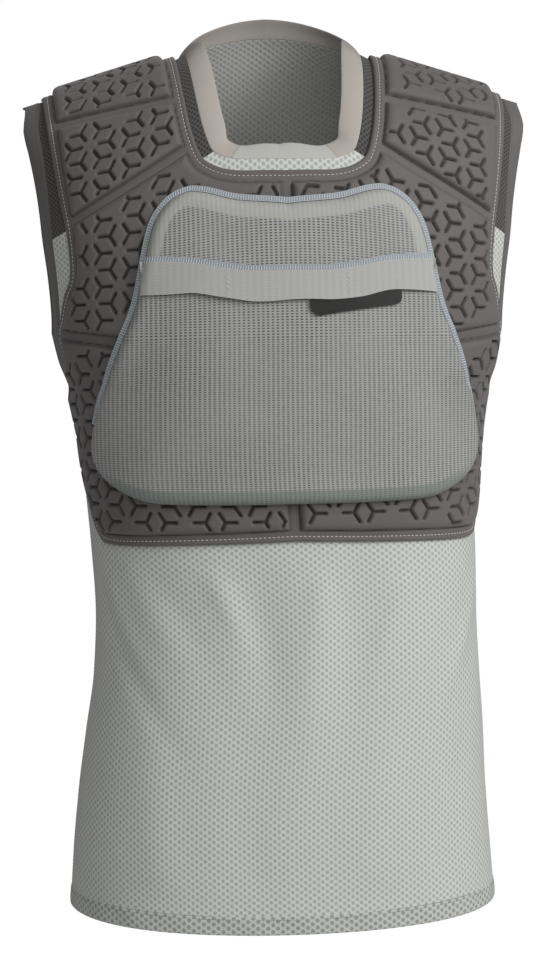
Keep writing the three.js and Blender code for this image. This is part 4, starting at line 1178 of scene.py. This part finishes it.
class VestColours(bpy.types.PropertyGroup):
    shirt: colour_prop("Shirt", "Light mesh of the shirt", (0.825, 0.835, 0.81))
    # The back's colour is the shirt's light mesh darkened: painted shade for its inner face, seen
    # through the neck
    back: colour_prop("Back mesh", "Light mesh of the shirt's back", (0.73, 0.73, 0.71))
    shirt_cells: colour_prop("Shirt cells", "Darker cells of the light mesh", (0.56, 0.57, 0.555))
    hem: colour_prop("Hem", "Light mesh of the hem band", (0.78, 0.79, 0.77))
    yoke: colour_prop("Yoke", "Dark mesh over the shoulders", (0.345, 0.335, 0.325))
    yoke_cells: colour_prop("Yoke cells", "Cells of the dark mesh", (0.12, 0.12, 0.12))
    foam: colour_prop("Foam", "Skin of the foam panel", (0.385, 0.37, 0.365))
    pocket: colour_prop("Pocket", "Mesh of the pocket", (0.635, 0.635, 0.63))
    pocket_holes: colour_prop("Pocket holes", "Holes of the pocket's mesh", (0.27, 0.27, 0.27))
    pocket_border: colour_prop("Pocket border", "Doubled edge of the pocket", (0.68, 0.68, 0.66))
    pocket_foot: colour_prop("Pocket foot", "Doubled edge at the pocket's foot", (0.52, 0.54, 0.525))
    band: colour_prop("Band", "Elastic over the pocket's mouth", (0.675, 0.675, 0.665))
    overlock: colour_prop("Overlock", "Thread of the pocket's seams", (0.77, 0.79, 0.81))
    thread: colour_prop("Topstitch", "Thread of the topstitches", (0.8, 0.8, 0.78))
    tape: colour_prop("Neck tape", "Tape round the neck", (0.70, 0.675, 0.645))
    front_tape: colour_prop("Front tape", "Tape over the front of the neck", (0.74, 0.74, 0.72))
    binding: colour_prop("Binding", "Elastic round the armholes", (0.4, 0.39, 0.385))
    label: colour_prop("Label", "Bare label", (0.125, 0.125, 0.12))
    insert: colour_prop("Insert", "Foam of the pocket's pad", (0.45, 0.45, 0.46))
    overlock_base: colour_prop("Overlock base", "Ground of the seams", (0.56, 0.585, 0.605))
    # Darker thread: the hem's seam thread and the painted shadow line along its seam
    hem_thread_and_seam_shadow: colour_prop("Hem thread", "Thread of the hem's seam", (0.5, 0.52, 0.5))
    dark_thread: colour_prop("Dark thread", "Thread of the bindings", (0.45, 0.44, 0.43))


class VestSewing(bpy.types.PropertyGroup):
    mark_depth: length_prop("Mark depth", "Depth of the embossed marks", 0.0033)
    panel_step: length_prop("Panel grid", "Side of the panel's quads", 0.001, 0.0008)
    cloth_step: length_prop("Cloth grid", "Side of the cloth's quads", 0.004, 0.002)
    stitch_pitch: length_prop("Stitch pitch", "Length from stitch to stitch", 0.0034, 0.001)
    stitch_inset: length_prop("Stitch inset", "Topstitch in from the panel's edge", 0.004)


class VestStudio(bpy.types.PropertyGroup):
    key_power: strength_prop("Key light", "Power of the main light, in watts", 48)
    fill_power: strength_prop("Fill light", "Power of the fill light, in watts", 13)
    sky: strength_prop("Sky", "Strength of the light from all round", 0.22)


def colours():
    return bpy.context.scene.vest_colours


def sewing(name):
    """A sewing size in millimetres."""
    return getattr(bpy.context.scene.vest_sewing, name) / MM


def shared(name, make):
    """A material, made once."""
    return bpy.data.materials.get(name) or make()


def knit(name, colour, hole, sizes):
    return shared(name, lambda: knit_finish(name, colour, hole, sizes))


def thread(name, colour):
    return shared(name, lambda: thread_finish(name, colour))


# ---- Pieces ----


class MakeShirt(bpy.types.Operator):
    """Makes the light mesh of the shirt, front and back"""

    bl_idname = "vest.make_shirt"
    bl_label = "Shirt"

    def execute(self, context):
        c = colours()
        step = sewing("cloth_step")

        def draped(base):
            def height(flat):
                across, up = flat.T
                fade = 1 - smooth_step(up, PANEL_FOOT - 40, PANEL_FOOT - 8)
                fade = fade * smooth_step(up, HEM + HEM_WIDTH, HEM + 3 * HEM_WIDTH)
                edge = 1 - smooth_step(np.abs(across) / side_length(up), 0.86, 0.99)
                return base + fade * edge * fold_height(DRAPE_ROWS, across, up)

            return height

        front = sheet_mesh(
            "shirt_front_mesh", front_place, SHIRT_FRONT, step, draped(0), draped(SHIRT_WALL)
        )
        material = knit("light_knit", c.shirt, c.shirt_cells, SHIRT_KNIT)
        dressed(front, material, ["shirt_front"])
        back = sheet_mesh(
            "shirt_back_mesh", back_place, SHIRT_BACK, step, draped(0), draped(SHIRT_WALL)
        )
        # The darker back colour is painted shade
        material = knit("back_knit_painted_shade", c.back, c.shirt_cells, BACK_KNIT)
        dressed(back, material, ["shirt_back"])
        return {"FINISHED"}


class MakeYokes(bpy.types.Operator):
    """Makes the dark mesh over the shoulders"""

    bl_idname = "vest.make_yokes"
    bl_label = "Yokes"

    def execute(self, context):
        c = colours()
        material = knit("yoke_knit", c.yoke, c.yoke_cells, YOKE_KNIT)
        for side, sign in (("left", -1), ("right", 1)):
            outline = YOKE * (sign, 1)
            name = "yoke_" + side
            piece = sheet_mesh(name + "_mesh", front_place, outline, 3, 0, SHIRT_WALL)
            dressed(piece, material, [name])
        return {"FINISHED"}


def band_section(width, wall, corner, steps=3):
    """Rounded flat section: places across the width and heights."""
    points = []
    for (x, y), start in zip([(width, 0), (width, wall), (0, wall), (0, 0)], (-90, 0, 90, 180)):
        centre = (x - corner if x else corner, y - corner if y else corner)
        for i in range(steps + 1):
            turn = math.radians(start + 90 * i / steps)
            points.append((centre[0] + corner * math.cos(turn), centre[1] + corner * math.sin(turn)))
    return np.array(points)


def long_section(width, wall, corner, reach):
    """Rounded flat section with more points along both sides: places across, and heights."""
    section = band_section(width, wall, corner)
    rows = np.linspace(0, reach, 6)
    across = np.concatenate([section[:8, 0], rows[4:0:-1], section[8:, 0], rows[1:5]])
    out = np.concatenate([section[:8, 1], np.full(4, wall), section[8:, 1], np.zeros(4)])
    return across, out


class MakeHem(bpy.types.Operator):
    """Makes the doubled band round the foot of the shirt"""

    bl_idname = "vest.make_hem"
    bl_label = "Hem band"

    def execute(self, context):
        c = colours()
        count = 260
        angles = -math.pi + 2 * math.pi * np.arange(count) / count
        width = HEM_WIDTH + SEAM_GAP * 0.7
        across, out = long_section(width, HEM_WALL, HEM_WALL * 0.45, HEM_WIDTH)
        angle, up = np.meshgrid(angles, across, indexing="ij")
        level = hem_level(angle, up)
        step = 0.01
        round_it = surface(angle + step, level) - surface(angle - step, level)
        rise = surface(angle, level + 1) - surface(angle, level - 1)
        normal = np.cross(round_it, rise)
        normal /= np.linalg.norm(normal, axis=2, keepdims=True)
        swell = HEM_SWELL * np.sin(angle * 23) * np.sin(up / HEM_WIDTH * math.pi)
        height = out[None, :] - 0.2 * HEM_WALL + swell
        sections = surface(angle, level) + normal * height[..., None]
        foot = RINGS[20]
        girth = np.interp(np.abs(angles), ANGLES, foot) * np.sign(angles)
        pattern = np.stack([np.broadcast_to(girth[:, None], up.shape), up, np.zeros_like(up)], -1)
        piece = ring_mesh("hem_band_mesh", sections, pattern)
        material = knit("hem_knit", c.hem, c.shirt_cells, HEM_KNIT)
        dressed(piece, material, ["hem_band"])
        sides = [
            ("front", front_place, hem_seam(side_length, True)),
            ("back", back_place, hem_seam(back_side_length, False)),
        ]
        for name, place, half in sides:
            seam = mirrored(half)[:49]
            seam = seam[np.argsort(seam[:, 0])]
            rows = [
                # Continuous dark row on the seam line: seam thread and a painted shadow line, which
                # also covers the gap
                (place, seam - (0, SEAM_GAP / 2), SHIRT_WALL * 0.7, *HEM_THREAD_AND_SHADOW),
                (place, seam - (0, 2.2), HEM_WALL * 0.8, *HEM_STITCH),
            ]
            stitch_rows("hem_stitches_" + name, rows, thread("hem_thread_and_seam_shadow", c.hem_thread_and_seam_shadow))
        return {"FINISHED"}


class MakeBindings(bpy.types.Operator):
    """Makes the elastic round each armhole"""

    bl_idname = "vest.make_bindings"
    bl_label = "Armhole bindings"

    def execute(self, context):
        c = colours()
        material = ribbed_finish("binding_elastic", c.binding, 1.6, 0.9, 0.22, 0.6)
        steps = 60
        outer, inner = armhole_line(0, steps), armhole_line(BINDING_WIDTH, steps)
        section = band_section(BINDING_WIDTH, BINDING_WALL, BINDING_WALL * 0.45)
        share, out = section[:, 0] / BINDING_WIDTH, section[:, 1] - 0.15 * BINDING_WALL
        for side_name, sign in (("left", -1), ("right", 1)):
            sections, pattern = [], []
            length = 0
            for place, side, turn, order in (
                (front_place, side_length, sign, range(steps + 1)),
                (back_place, back_side_length, -sign, range(steps - 1, 0, -1)),
            ):
                for i in order:
                    flat = outer[i] + (inner[i] - outer[i]) * share[:, None]
                    flat = np.stack([turn * (side(flat[:, 1]) - flat[:, 0]), flat[:, 1]], 1)
                    points, _ = on_body(place, flat, out)
                    sections.append(points / MM)
                    if len(sections) > 1:
                        length += np.linalg.norm(sections[-1][0] - sections[-2][0])
                    pattern.append([(length, s * BINDING_WIDTH, 0) for s in share])
            sections, pattern = np.array(sections), np.array(pattern)
            pattern[:, :, 0] = np.minimum(pattern[:, :, 0], length - pattern[:, :, 0])
            if sign < 0:
                sections, pattern = sections[:, ::-1], pattern[:, ::-1]
            name = "armhole_binding_" + side_name
            piece = ring_mesh(name + "_elastic", sections, pattern)
            dressed(piece, material, [name])
            rows = []
            line = armhole_line(BINDING_WIDTH - 2, steps)
            for place, side, turn in (
                (front_place, side_length, sign),
                (back_place, back_side_length, -sign),
            ):
                flat = np.stack([turn * (side(line[:, 1]) - line[:, 0]), line[:, 1]], 1)
                rows.append((place, flat, BINDING_WALL * 0.87, *BINDING_STITCH))
            name = "binding_stitches_" + side_name
            stitch_rows(name, rows, thread("dark_thread", c.dark_thread))
        return {"FINISHED"}


class MakeNeckTape(bpy.types.Operator):
    """Makes the tape that stands up and in round the neck"""

    bl_idname = "vest.make_neck_tape"
    bl_label = "Neck tape"

    def execute(self, context):
        seam = neck_line(0, 60)
        front, _ = on_body(front_place, seam, SHIRT_WALL / 2)
        across = BACK_NECK_SIDE * (1 - np.arange(1, 41) / 40)
        behind = np.stack([-across, np.full(40, TOP - SEAM_GAP)], 1)
        back, _ = on_body(back_place, behind, SHIRT_WALL / 2)
        half = np.concatenate([front, back]) / MM
        half = resampled(half, 2.6)
        lengths = np.concatenate([[0], np.cumsum(np.linalg.norm(np.diff(half, axis=0), axis=1))])
        ring = np.concatenate([half, (half * (-1, 1, 1))[1:-1][::-1]])
        along = np.concatenate([lengths, lengths[1:-1][::-1]])
        sign = np.concatenate([np.ones(len(half)), -np.ones(len(half) - 2)])
        share = along / lengths[-1]
        lean = np.stack(
            [
                -sign * read_table(TAPE_ROWS, "along", "inward", share),
                read_table(TAPE_ROWS, "along", "rearward", share),
                read_table(TAPE_ROWS, "along", "up", share),
            ],
            1,
        )
        lean = lean * NECK_TAPE_WIDTH
        near_front = 1 - smooth_step(share, 0.1, 0.2)
        wave = TAPE_WAVE * np.sin(along / 9 + sign * 0.7) * near_front
        tangent = np.roll(ring, -1, 0) - np.roll(ring, 1, 0)
        out = np.cross(tangent, lean)
        out /= np.linalg.norm(out, axis=1, keepdims=True)
        width, thick = long_section(
            NECK_TAPE_WIDTH, NECK_TAPE_WALL, NECK_TAPE_WALL * 0.4, NECK_TAPE_WIDTH
        )
        width = width / NECK_TAPE_WIDTH
        bow = TAPE_BOW * np.sin(width * math.pi)
        start = ring + lean * 0.2 * SEAM_GAP / NECK_TAPE_WIDTH
        sections = (
            start[:, None]
            + lean[:, None] * width[None, :, None]
            + out[:, None] * ((thick - NECK_TAPE_WALL / 2 + bow)[None, :, None])
        )
        sections[:, :, 2] += wave[:, None] * width[None, :] ** 2
        pattern = np.stack(
            [
                np.broadcast_to(along[:, None], sections.shape[:2]),
                np.broadcast_to(width * NECK_TAPE_WIDTH, sections.shape[:2]),
                np.zeros(sections.shape[:2]),
            ],
            -1,
        )
        piece = ring_mesh("neck_tape_knit", sections[:, ::-1], pattern[:, ::-1])
        material = tape_finish(colours().tape, colours().front_tape)
        dressed(piece, material, ["neck_tape"])
        return {"FINISHED"}


def hinge_lines():
    """Centre line and hinge lines of the foam panel, each as its two ends."""
    lines = [[(0, TOP), (0, PANEL_FOOT - 40)]]
    for row in HINGE_ROWS:
        ends = [
            (row[end + "_across"] * PANEL_HALF_WIDTH, UNDERARM + row[end + "_rise"] * ARMHOLE_HEIGHT)
            for end in ("from", "to")
        ]
        lines += [[(-x, y) for x, y in ends], ends]
    return [np.array(line, float) for line in lines]


def pad_depth(points):
    """Distance in from the nearest edge of the raised pads, below zero outside them."""
    away, _ = to_line(points, PANEL)
    depth = away - FLANGE_WIDTH
    for line in hinge_lines():
        gap, _ = to_line(points, line, closed=False)
        depth = np.minimum(depth, gap - HINGE_WIDTH / 2)
    return depth


def mark_depth(points):
    """Distance from the nearest arm of an embossed mark. The two halves' rows are skewed."""
    skew = MARK_SKEW * np.sign(points[:, 0])
    points = points + np.stack([np.zeros(len(points)), skew], 1)
    column = np.floor((points[:, 0] - MARK_ACROSS) / MARK_COLUMN + 2 / 3)
    x = (points[:, 0] - MARK_ACROSS) / MARK_COLUMN + 2 / 3 - column
    y = (points[:, 1] - MARK_UP) / MARK_PITCH - 0.5 * (column % 2)
    row = np.round(y)
    points_left = np.abs(y - row) <= x / 2
    row = np.where(points_left, row, np.floor(y) + 0.5)
    centre_x = MARK_ACROSS + (column + np.where(points_left, 0, -1 / 3)) * MARK_COLUMN
    centre_y = MARK_UP + (row + 0.5 * (column % 2)) * MARK_PITCH
    keys = np.stack([np.round(centre_x, 3), np.round(centre_y, 3), points_left, skew], 1)
    marks, which = np.unique(keys, axis=0, return_inverse=True)
    which = which.ravel()
    facing = np.where(marks[:, 2] > 0, -1.0, 1.0)
    best = np.full(len(points), 99.0)
    centres = marks[:, :2] - np.stack([np.zeros(len(marks)), marks[:, 3]], 1)
    for turn in np.radians((0, 120, 240)):
        reach = np.stack([facing * math.cos(turn), np.full(len(marks), math.sin(turn))], 1)
        clear = np.ones(len(marks), bool)
        length = np.full(len(marks), -1.0)
        for share in np.linspace(0, 1, 5):
            clear &= pad_depth(centres + reach * share * MARK_ARM) > MARK_MARGIN
            length = np.where(clear, share * MARK_ARM, length)
        along = ((points - marks[which, :2]) * reach[which]).sum(1)
        held = np.clip(along, 0, np.maximum(length[which], 0))
        away = np.hypot(*(points - marks[which, :2] - reach[which] * held[:, None]).T)
        best = np.where(length[which] > MARK_ARM * 0.2, np.minimum(best, away), best)
    return best


def rounded(depth, reach):
    """Rise of a rounded edge from 0 to 1, over a reach in from the edge."""
    t = np.clip(depth / reach, 0, 1)
    return np.sqrt(1 - (1 - t) ** 2)


def panel_relief(points):
    """Height of the foam panel's outer face over the body, and the share of painted shade in its
    grooves and along its hinge creases.
    """
    depth = pad_depth(points)
    height = FLANGE_OUTER + PAD_HEIGHT * rounded(depth, PAD_ROUND) * np.where(depth > 0, 1, 0)
    beyond = mark_depth(points) - MARK_HALF_WIDTH
    groove = 1 - smooth_step(beyond, -MARK_WALL * 0.55, MARK_WALL * 0.45)
    crease = np.exp(-((depth / CREASE_WIDTH) ** 2))
    away, _ = to_line(points, PANEL)
    rim = FLANGE_WALL * 0.45 * (1 - rounded(away, 2))
    pinch = 0.5 * np.exp(-(((away - sewing("stitch_inset")) / 1.3) ** 2))
    height = height - groove * sewing("mark_depth") - crease * CREASE_DEPTH - rim - pinch
    return height, np.maximum(groove, CREASE_SHADE * crease)


class MakePanel(bpy.types.Operator):
    """Makes the embossed foam panel over the chest and shoulders"""

    bl_idname = "vest.make_panel"
    bl_label = "Foam panel"

    def execute(self, context):
        step = sewing("panel_step")
        hidden = inset(POCKET, 14)
        flat, quads, loops = cells(PANEL, step, hidden)
        height, groove_shade = panel_relief(flat)
        top, _ = on_body(front_place, flat, height)
        outer_loop, rim = loops[0], loops[1][::-1]
        middle, patch = filled(flat, rim, 9)
        covered, _ = on_body(front_place, middle, PAD_OUTER - 0.4)
        below, _ = on_body(front_place, flat[outer_loop], FLANGE_INNER)
        inner, back = filled(flat, outer_loop, 12)
        behind, _ = on_body(front_place, inner, FLANGE_INNER)
        count = len(outer_loop)
        base = len(flat) + len(middle)
        ring = list(range(base, base + count))
        faces = [*quads]
        faces += [renumbered(face, rim, len(flat)) for face in patch]
        for i, first in enumerate(outer_loop):
            after = (i + 1) % count
            faces.append((outer_loop[after], first, base + i, base + after))
        faces += [renumbered(face, ring, base + count)[::-1] for face in back]
        pattern = np.concatenate([flat, middle, flat[outer_loop], inner])
        # The third number of the panel's pattern carries the painted shade of its grooves and creases
        depth = np.zeros((len(pattern), 1))
        depth[: len(groove_shade), 0] = groove_shade
        pattern = np.concatenate([pattern, depth], 1)
        points = np.concatenate([top, covered, below, behind])
        piece = new_piece("foam_panel", points, faces, pattern)
        dressed(piece, foam_finish("foam_skin", colours().foam), ["chest_panel"], angle=75)
        return {"FINISHED"}


def pocket_depth(flat):
    return to_line(flat, POCKET)[0]


def pocket_height(low, high, reach):
    """Height function of a layer of the pocket: it rises round its edge and is softly full."""

    def height(flat):
        depth = pocket_depth(flat)
        across, up = flat.T
        crown = CROWN * smooth_step(depth, *CROWN_REACH)
        ripple = RIPPLE * np.sin(across / 17 + up / 31) * smooth_step(depth, 4, 25)
        return low + (high - low) * rounded(depth, reach) + crown + ripple

    return height


class MakePocket(bpy.types.Operator):
    """Makes the pocket's insert pad and its two mesh fronts"""

    bl_idname = "vest.make_pocket"
    bl_label = "Pocket"

    def execute(self, context):
        c = colours()
        pad_outline = inset(POCKET, 3.4)[::4]
        pad = sheet_mesh(
            "pocket_insert_pad",
            front_place,
            pad_outline,
            4,
            INSERT_INNER,
            pocket_height(INSERT_INNER + 0.8, INSERT_OUTER - 0.3, POCKET_SLOPE + 3),
        )
        dressed(pad, foam_finish("insert_foam", c.insert), ["pocket_insert"])
        material = pocket_finish(c.pocket, c.pocket_holes, c.pocket_border, c.pocket_foot)
        across = np.linspace(-1, 1, 61) * POCKET_HALF_WIDTH
        for name, key, lap, sign in (("upper", "seam", -BAND_LAP, 1), ("lower", "foot", BAND_LAP, -1)):
            keep = POCKET[(POCKET[:, 1] - (band_level(POCKET[:, 0], key) + lap)) * sign > 0]
            cut = np.stack([across, band_level(across, key) + lap], 1)
            cut = cut[inside(cut, POCKET)]
            start = np.argmax(np.hypot(*(np.roll(keep, -1, 0) - keep).T))
            chain = np.roll(keep, -start - 1, 0)
            if np.hypot(*(chain[-1] - cut[0])) > np.hypot(*(chain[-1] - cut[-1])):
                cut = cut[::-1]
            outline = np.concatenate([chain, cut])
            piece = sheet_mesh(
                "pocket_" + name + "_mesh",
                front_place,
                outline,
                2.5,
                pocket_height(INSERT_INNER + 0.1, POCKET_INNER + 0.3, POCKET_SLOPE + 2),
                pocket_height(INSERT_INNER + 1.2, POCKET_OUTER, POCKET_SLOPE + 2),
                pocket_depth,
            )
            dressed(piece, material, ["pocket_" + name])
        return {"FINISHED"}


def overlock(name, middle, chains, height, width):
    """Threads of an overlocked seam: close ticks across its width, and a chain each side."""
    tick = (width * 1.05, 1.9, 0.85, OVERLOCK_TURN)
    rows = [(front_place, middle, height, *tick)]
    rows += [(front_place, chain, height, *CHAIN_STITCH) for chain in chains]
    stitch_rows(name, rows, thread("overlock_thread", colours().overlock))


def band_height(base):
    """Height of what lies over the pocket's mesh at its mouth."""

    def height(flat):
        depth = pocket_depth(flat)
        edge = (POCKET_OUTER - INSERT_INNER) * (1 - rounded(depth, POCKET_SLOPE + 2))
        return base + CROWN * smooth_step(depth, *CROWN_REACH) - 0.8 * edge + 0.35

    return height


class MakeBand(bpy.types.Operator):
    """Makes the elastic band over the pocket's mouth, with its seam and tacks"""

    bl_idname = "vest.make_band"
    bl_label = "Pocket band"

    def execute(self, context):
        c = colours()
        reach = pocket_side(band_level(0, "foot")) - 5
        across = np.linspace(-reach, reach, 90)
        head = np.stack([across, band_level(across, "seam") - 1], 1)
        foot = np.stack([across, band_level(across, "foot") + 0.5 * np.sin(across / 11)], 1)
        outline = np.concatenate([foot, head[::-1]])

        def lifted(base):
            resting = band_height(base)

            def height(flat):
                x, y = flat.T
                head_level = band_level(x, "seam")
                share = (head_level - y) / (head_level - band_level(x, "foot"))
                ends = 1 - smooth_step(np.abs(x), 0.8 * reach, reach)
                lift = BAND_LIFT[0] + BAND_LIFT[1] * np.sin(x / 13)
                return resting(flat) + ends * np.clip(share, 0, 1) ** 2 * lift

            return height

        band = sheet_mesh(
            "pocket_band_elastic",
            front_place,
            outline,
            1.6,
            lifted(BAND_INNER),
            lifted(BAND_INNER + POCKET_WALL),
        )
        material = ribbed_finish("band_elastic", c.band, 1.25, 5.2, 0.16)
        dressed(band, material, ["pocket_band"])
        seam_reach = pocket_side(band_level(NECK_HALF_WIDTH, "seam")) - 1
        across = np.linspace(-seam_reach, seam_reach, 120)
        level = band_level(across, "seam")
        upper = np.stack([across, level + BAND_SEAM_WIDTH / 2], 1)
        lower = np.stack([across, level - BAND_SEAM_WIDTH / 2], 1)
        crown = band_height(BAND_INNER + TRIM_SHOWN)
        strip = sheet_mesh(
            "band_seam_base",
            front_place,
            np.concatenate([lower, upper[::-1]]),
            1.25,
            band_height(BAND_INNER),
            crown,
        )
        dressed(strip, thread("overlock_base", c.overlock_base), ["band_seam"])
        middle = np.stack([across, level], 1)
        chains = [upper - (0, 0.2), lower + (0, 0.2)]
        overlock("band_seam_threads", middle, chains, crown, BAND_SEAM_WIDTH)
        rows = []
        surface_height = lifted(BAND_INNER + POCKET_WALL + 0.1)
        for at in TACKS_ACROSS:
            head, foot = band_level(at, "seam") - 4, band_level(at, "foot") + 1.5
            zigzag = at + 1.4 * np.sin(np.arange(14) * 2.2)
            line = np.stack([zigzag, np.linspace(head, foot, 14)], 1)
            rows.append((front_place, line, surface_height, *TACK_STITCH))
        stitch_rows("band_tacks", rows, thread("overlock_thread", c.overlock))
        return {"FINISHED"}


class MakeLabel(bpy.types.Operator):
    """Makes the bare label at the foot of the band"""

    bl_idname = "vest.make_label"
    bl_label = "Label"

    def execute(self, context):
        end = LABEL_START + LABEL_WIDTH

        def head(x):
            return band_level(x, "foot") + 0.8

        across = np.linspace(end, LABEL_START, 24)
        top = np.stack([across, head(across)], 1)
        turns = np.radians(np.linspace(0, 90, 7))
        in_x, in_y = 1 - np.cos(turns), 1 - np.sin(turns)
        left_size, right_size = LABEL_CORNERS
        left_foot, right_foot = head(LABEL_START) - LABEL_SHOWN, head(end) - LABEL_SHOWN
        left = np.stack([LABEL_START + left_size * in_x, left_foot + left_size * in_y], 1)
        right = np.stack([end - right_size * in_x, right_foot + right_size * in_y], 1)
        outline = np.concatenate([left, right[::-1], top])
        piece = sheet_mesh(
            "label_patch",
            front_place,
            outline,
            1.0,
            band_height(BAND_INNER + 0.2),
            band_height(BAND_INNER + LABEL_WALL),
        )
        dressed(piece, label_finish(colours().label), ["label_tab"])
        return {"FINISHED"}


class MakePocketEdge(bpy.types.Operator):
    """Makes the overlocked edge round the pocket's top and sides"""

    bl_idname = "vest.make_pocket_edge"
    bl_label = "Pocket edge"

    def execute(self, context):
        half = POCKET_HALF[POCKET_HALF[:, 1] > POCKET_TOP - EDGE_SEAM_SHARE * POCKET_HEIGHT]
        line = np.concatenate([(half * (-1, 1))[::-1], half[1:]])
        line = resampled(line, 2.0)
        inner = beside_line(line, -0.4)
        outer = beside_line(line, -0.4 - POCKET_TRIM_WIDTH)
        height = INSERT_INNER + TRIM_SHOWN
        strip = sheet_mesh(
            "pocket_edge_base",
            front_place,
            np.concatenate([inner, outer[::-1]]),
            1.1,
            INSERT_INNER,
            height,
        )
        material = thread("overlock_base", colours().overlock_base)
        dressed(strip, material, ["pocket_edge_seam"])
        chains = [(inner * 9 + outer) / 10, (inner + outer * 9) / 10]
        overlock("pocket_edge_threads", (inner + outer) / 2, chains, height, POCKET_TRIM_WIDTH)
        return {"FINISHED"}


class MakeTopstitches(bpy.types.Operator):
    """Makes the topstitches of the panel and the side seams"""

    bl_idname = "vest.make_topstitches"
    bl_label = "Topstitches"

    def execute(self, context):
        c = colours()
        pitch = sewing("stitch_pitch")
        line = inset(PANEL, sewing("stitch_inset"), 2.0)
        line = np.concatenate([line, line[:1]])
        rows = [(front_place, line, FLANGE_OUTER - 0.35, pitch * 0.72, pitch, 0.75, 0)]
        stitch_rows("panel_topstitches", rows, thread("topstitch_thread", c.thread))
        seams = []
        for sign in (-1, 1):
            for place, side in ((front_place, side_length), (back_place, back_side_length)):
                levels = np.linspace(UNDERARM - BINDING_WIDTH - 4, HEM + HEM_WIDTH, 80)
                seam = np.stack([sign * (side(levels) - 2.2), levels], 1)
                seams.append((place, seam, SHIRT_WALL, *SIDE_STITCH))
        stitch_rows("side_seam_stitches", seams, thread("overlock_thread", c.overlock))
        return {"FINISHED"}


# Camera, as worked out from the photograph's frame, in metres, degrees and millimetres
CAMERA_AZIMUTH = -5.5
CAMERA_ELEVATION = 4.0
CAMERA_DISTANCE = 2.6
CAMERA_AIM = (0.0004, 0.0, -0.3196)
CAMERA_ROLL = -0.8
CAMERA_LENS = 121.9
CAMERA_SENSOR = 36
FLOOR_LEVEL = -1.1


class MakeStage(bpy.types.Operator):
    """Makes the floor, the lights and the camera"""

    bl_idname = "vest.make_stage"
    bl_label = "Stage"

    def execute(self, context):
        studio = context.scene.vest_studio
        bpy.ops.object.select_all(action="DESELECT")
        bpy.ops.mesh.primitive_circle_add(
            vertices=64, radius=1.0, fill_type="NGON", location=(0, 0, FLOOR_LEVEL)
        )
        floor = context.object
        bpy.ops.object.transform_apply(location=True, rotation=True, scale=True)
        floor.name = "floor"
        pale = bpy.data.materials.new("pale_floor")
        pale.use_nodes = True
        shader = pale.node_tree.nodes["Principled BSDF"]
        shader.inputs["Base Color"].default_value = (0.93, 0.93, 0.93, 1)
        shader.inputs["Roughness"].default_value = 0.9
        floor.data.materials.append(pale)
        azimuth, elevation = math.radians(CAMERA_AZIMUTH), math.radians(CAMERA_ELEVATION)
        level = math.cos(elevation)
        back = Vector((math.sin(azimuth) * level, -math.cos(azimuth) * level, math.sin(elevation)))
        lens = bpy.data.cameras.new("camera")
        lens.lens, lens.sensor_width = CAMERA_LENS, CAMERA_SENSOR
        camera = bpy.data.objects.new("camera", lens)
        context.scene.collection.objects.link(camera)
        camera.location = Vector(CAMERA_AIM) + back * CAMERA_DISTANCE
        camera.rotation_mode = "QUATERNION"
        roll = Quaternion((0, 0, 1), math.radians(CAMERA_ROLL))
        camera.rotation_quaternion = (-back).to_track_quat("-Z", "Y") @ roll
        context.scene.camera = camera
        lights = [
            ("key_light", (1.62, -1.62, 0.92), 1.4, studio.key_power),
            ("fill_light", (-0.2, -2.45, 0.6), 1.6, studio.fill_power),
        ]
        for name, place, size, power in lights:
            lamp = bpy.data.lights.new(name, "AREA")
            lamp.energy, lamp.size = power, size
            light = bpy.data.objects.new(name, lamp)
            context.scene.collection.objects.link(light)
            light.location = place
            aim = Vector((0, 0, -0.3)) - Vector(place)
            light.rotation_mode = "QUATERNION"
            light.rotation_quaternion = aim.to_track_quat("-Z", "Y")
        world = bpy.data.worlds.new("studio")
        world.use_nodes = True
        nodes, links = world.node_tree.nodes, world.node_tree.links
        sky = nodes["Background"]
        sky.inputs["Color"].default_value = (1, 1, 1, 1)
        sky.inputs["Strength"].default_value = studio.sky
        seen = nodes.new("ShaderNodeBackground")
        seen.inputs["Color"].default_value = (1, 1, 1, 1)
        ray = nodes.new("ShaderNodeLightPath")
        choice = nodes.new("ShaderNodeMixShader")
        links.new(ray.outputs["Is Camera Ray"], choice.inputs[0])
        links.new(sky.outputs[0], choice.inputs[1])
        links.new(seen.outputs[0], choice.inputs[2])
        links.new(choice.outputs[0], nodes["World Output"].inputs[0])
        context.scene.world = world
        context.scene.view_settings.view_transform = "Standard"
        return {"FINISHED"}


PIECES = [
    MakeShirt,
    MakeYokes,
    MakeHem,
    MakeBindings,
    MakeNeckTape,
    MakePanel,
    MakePocket,
    MakeBand,
    MakeLabel,
    MakePocketEdge,
    MakeTopstitches,
    MakeStage,
]


class VestPanel(bpy.types.Panel):
    """Sidebar panel that lists the vest's pieces and settings"""

    bl_idname = "VIEW3D_PT_vest"
    bl_label = "Vest"
    bl_space_type = "VIEW_3D"
    bl_region_type = "UI"
    bl_category = "Vest"

    def draw(self, context):
        for operator in PIECES:
            self.layout.operator(operator.bl_idname)
        for group in GROUPS:
            settings = getattr(context.scene, group)
            for name in settings.__annotations__:
                self.layout.prop(settings, name)


GROUPS = {"vest_colours": VestColours, "vest_sewing": VestSewing, "vest_studio": VestStudio}
CLASSES = [*GROUPS.values(), *PIECES, VestPanel]


def register():
    for cls in CLASSES:
        bpy.utils.register_class(cls)
    for name, group in GROUPS.items():
        setattr(bpy.types.Scene, name, PointerProperty(type=group))


def unregister():
    for name in GROUPS:
        delattr(bpy.types.Scene, name)
    for cls in reversed(CLASSES):
        bpy.utils.unregister_class(cls)


def main():
    register()
    for operator in PIECES:
        group, name = operator.bl_idname.split(".")
        getattr(getattr(bpy.ops, group), name)()


if __name__ == "__main__":
    main()
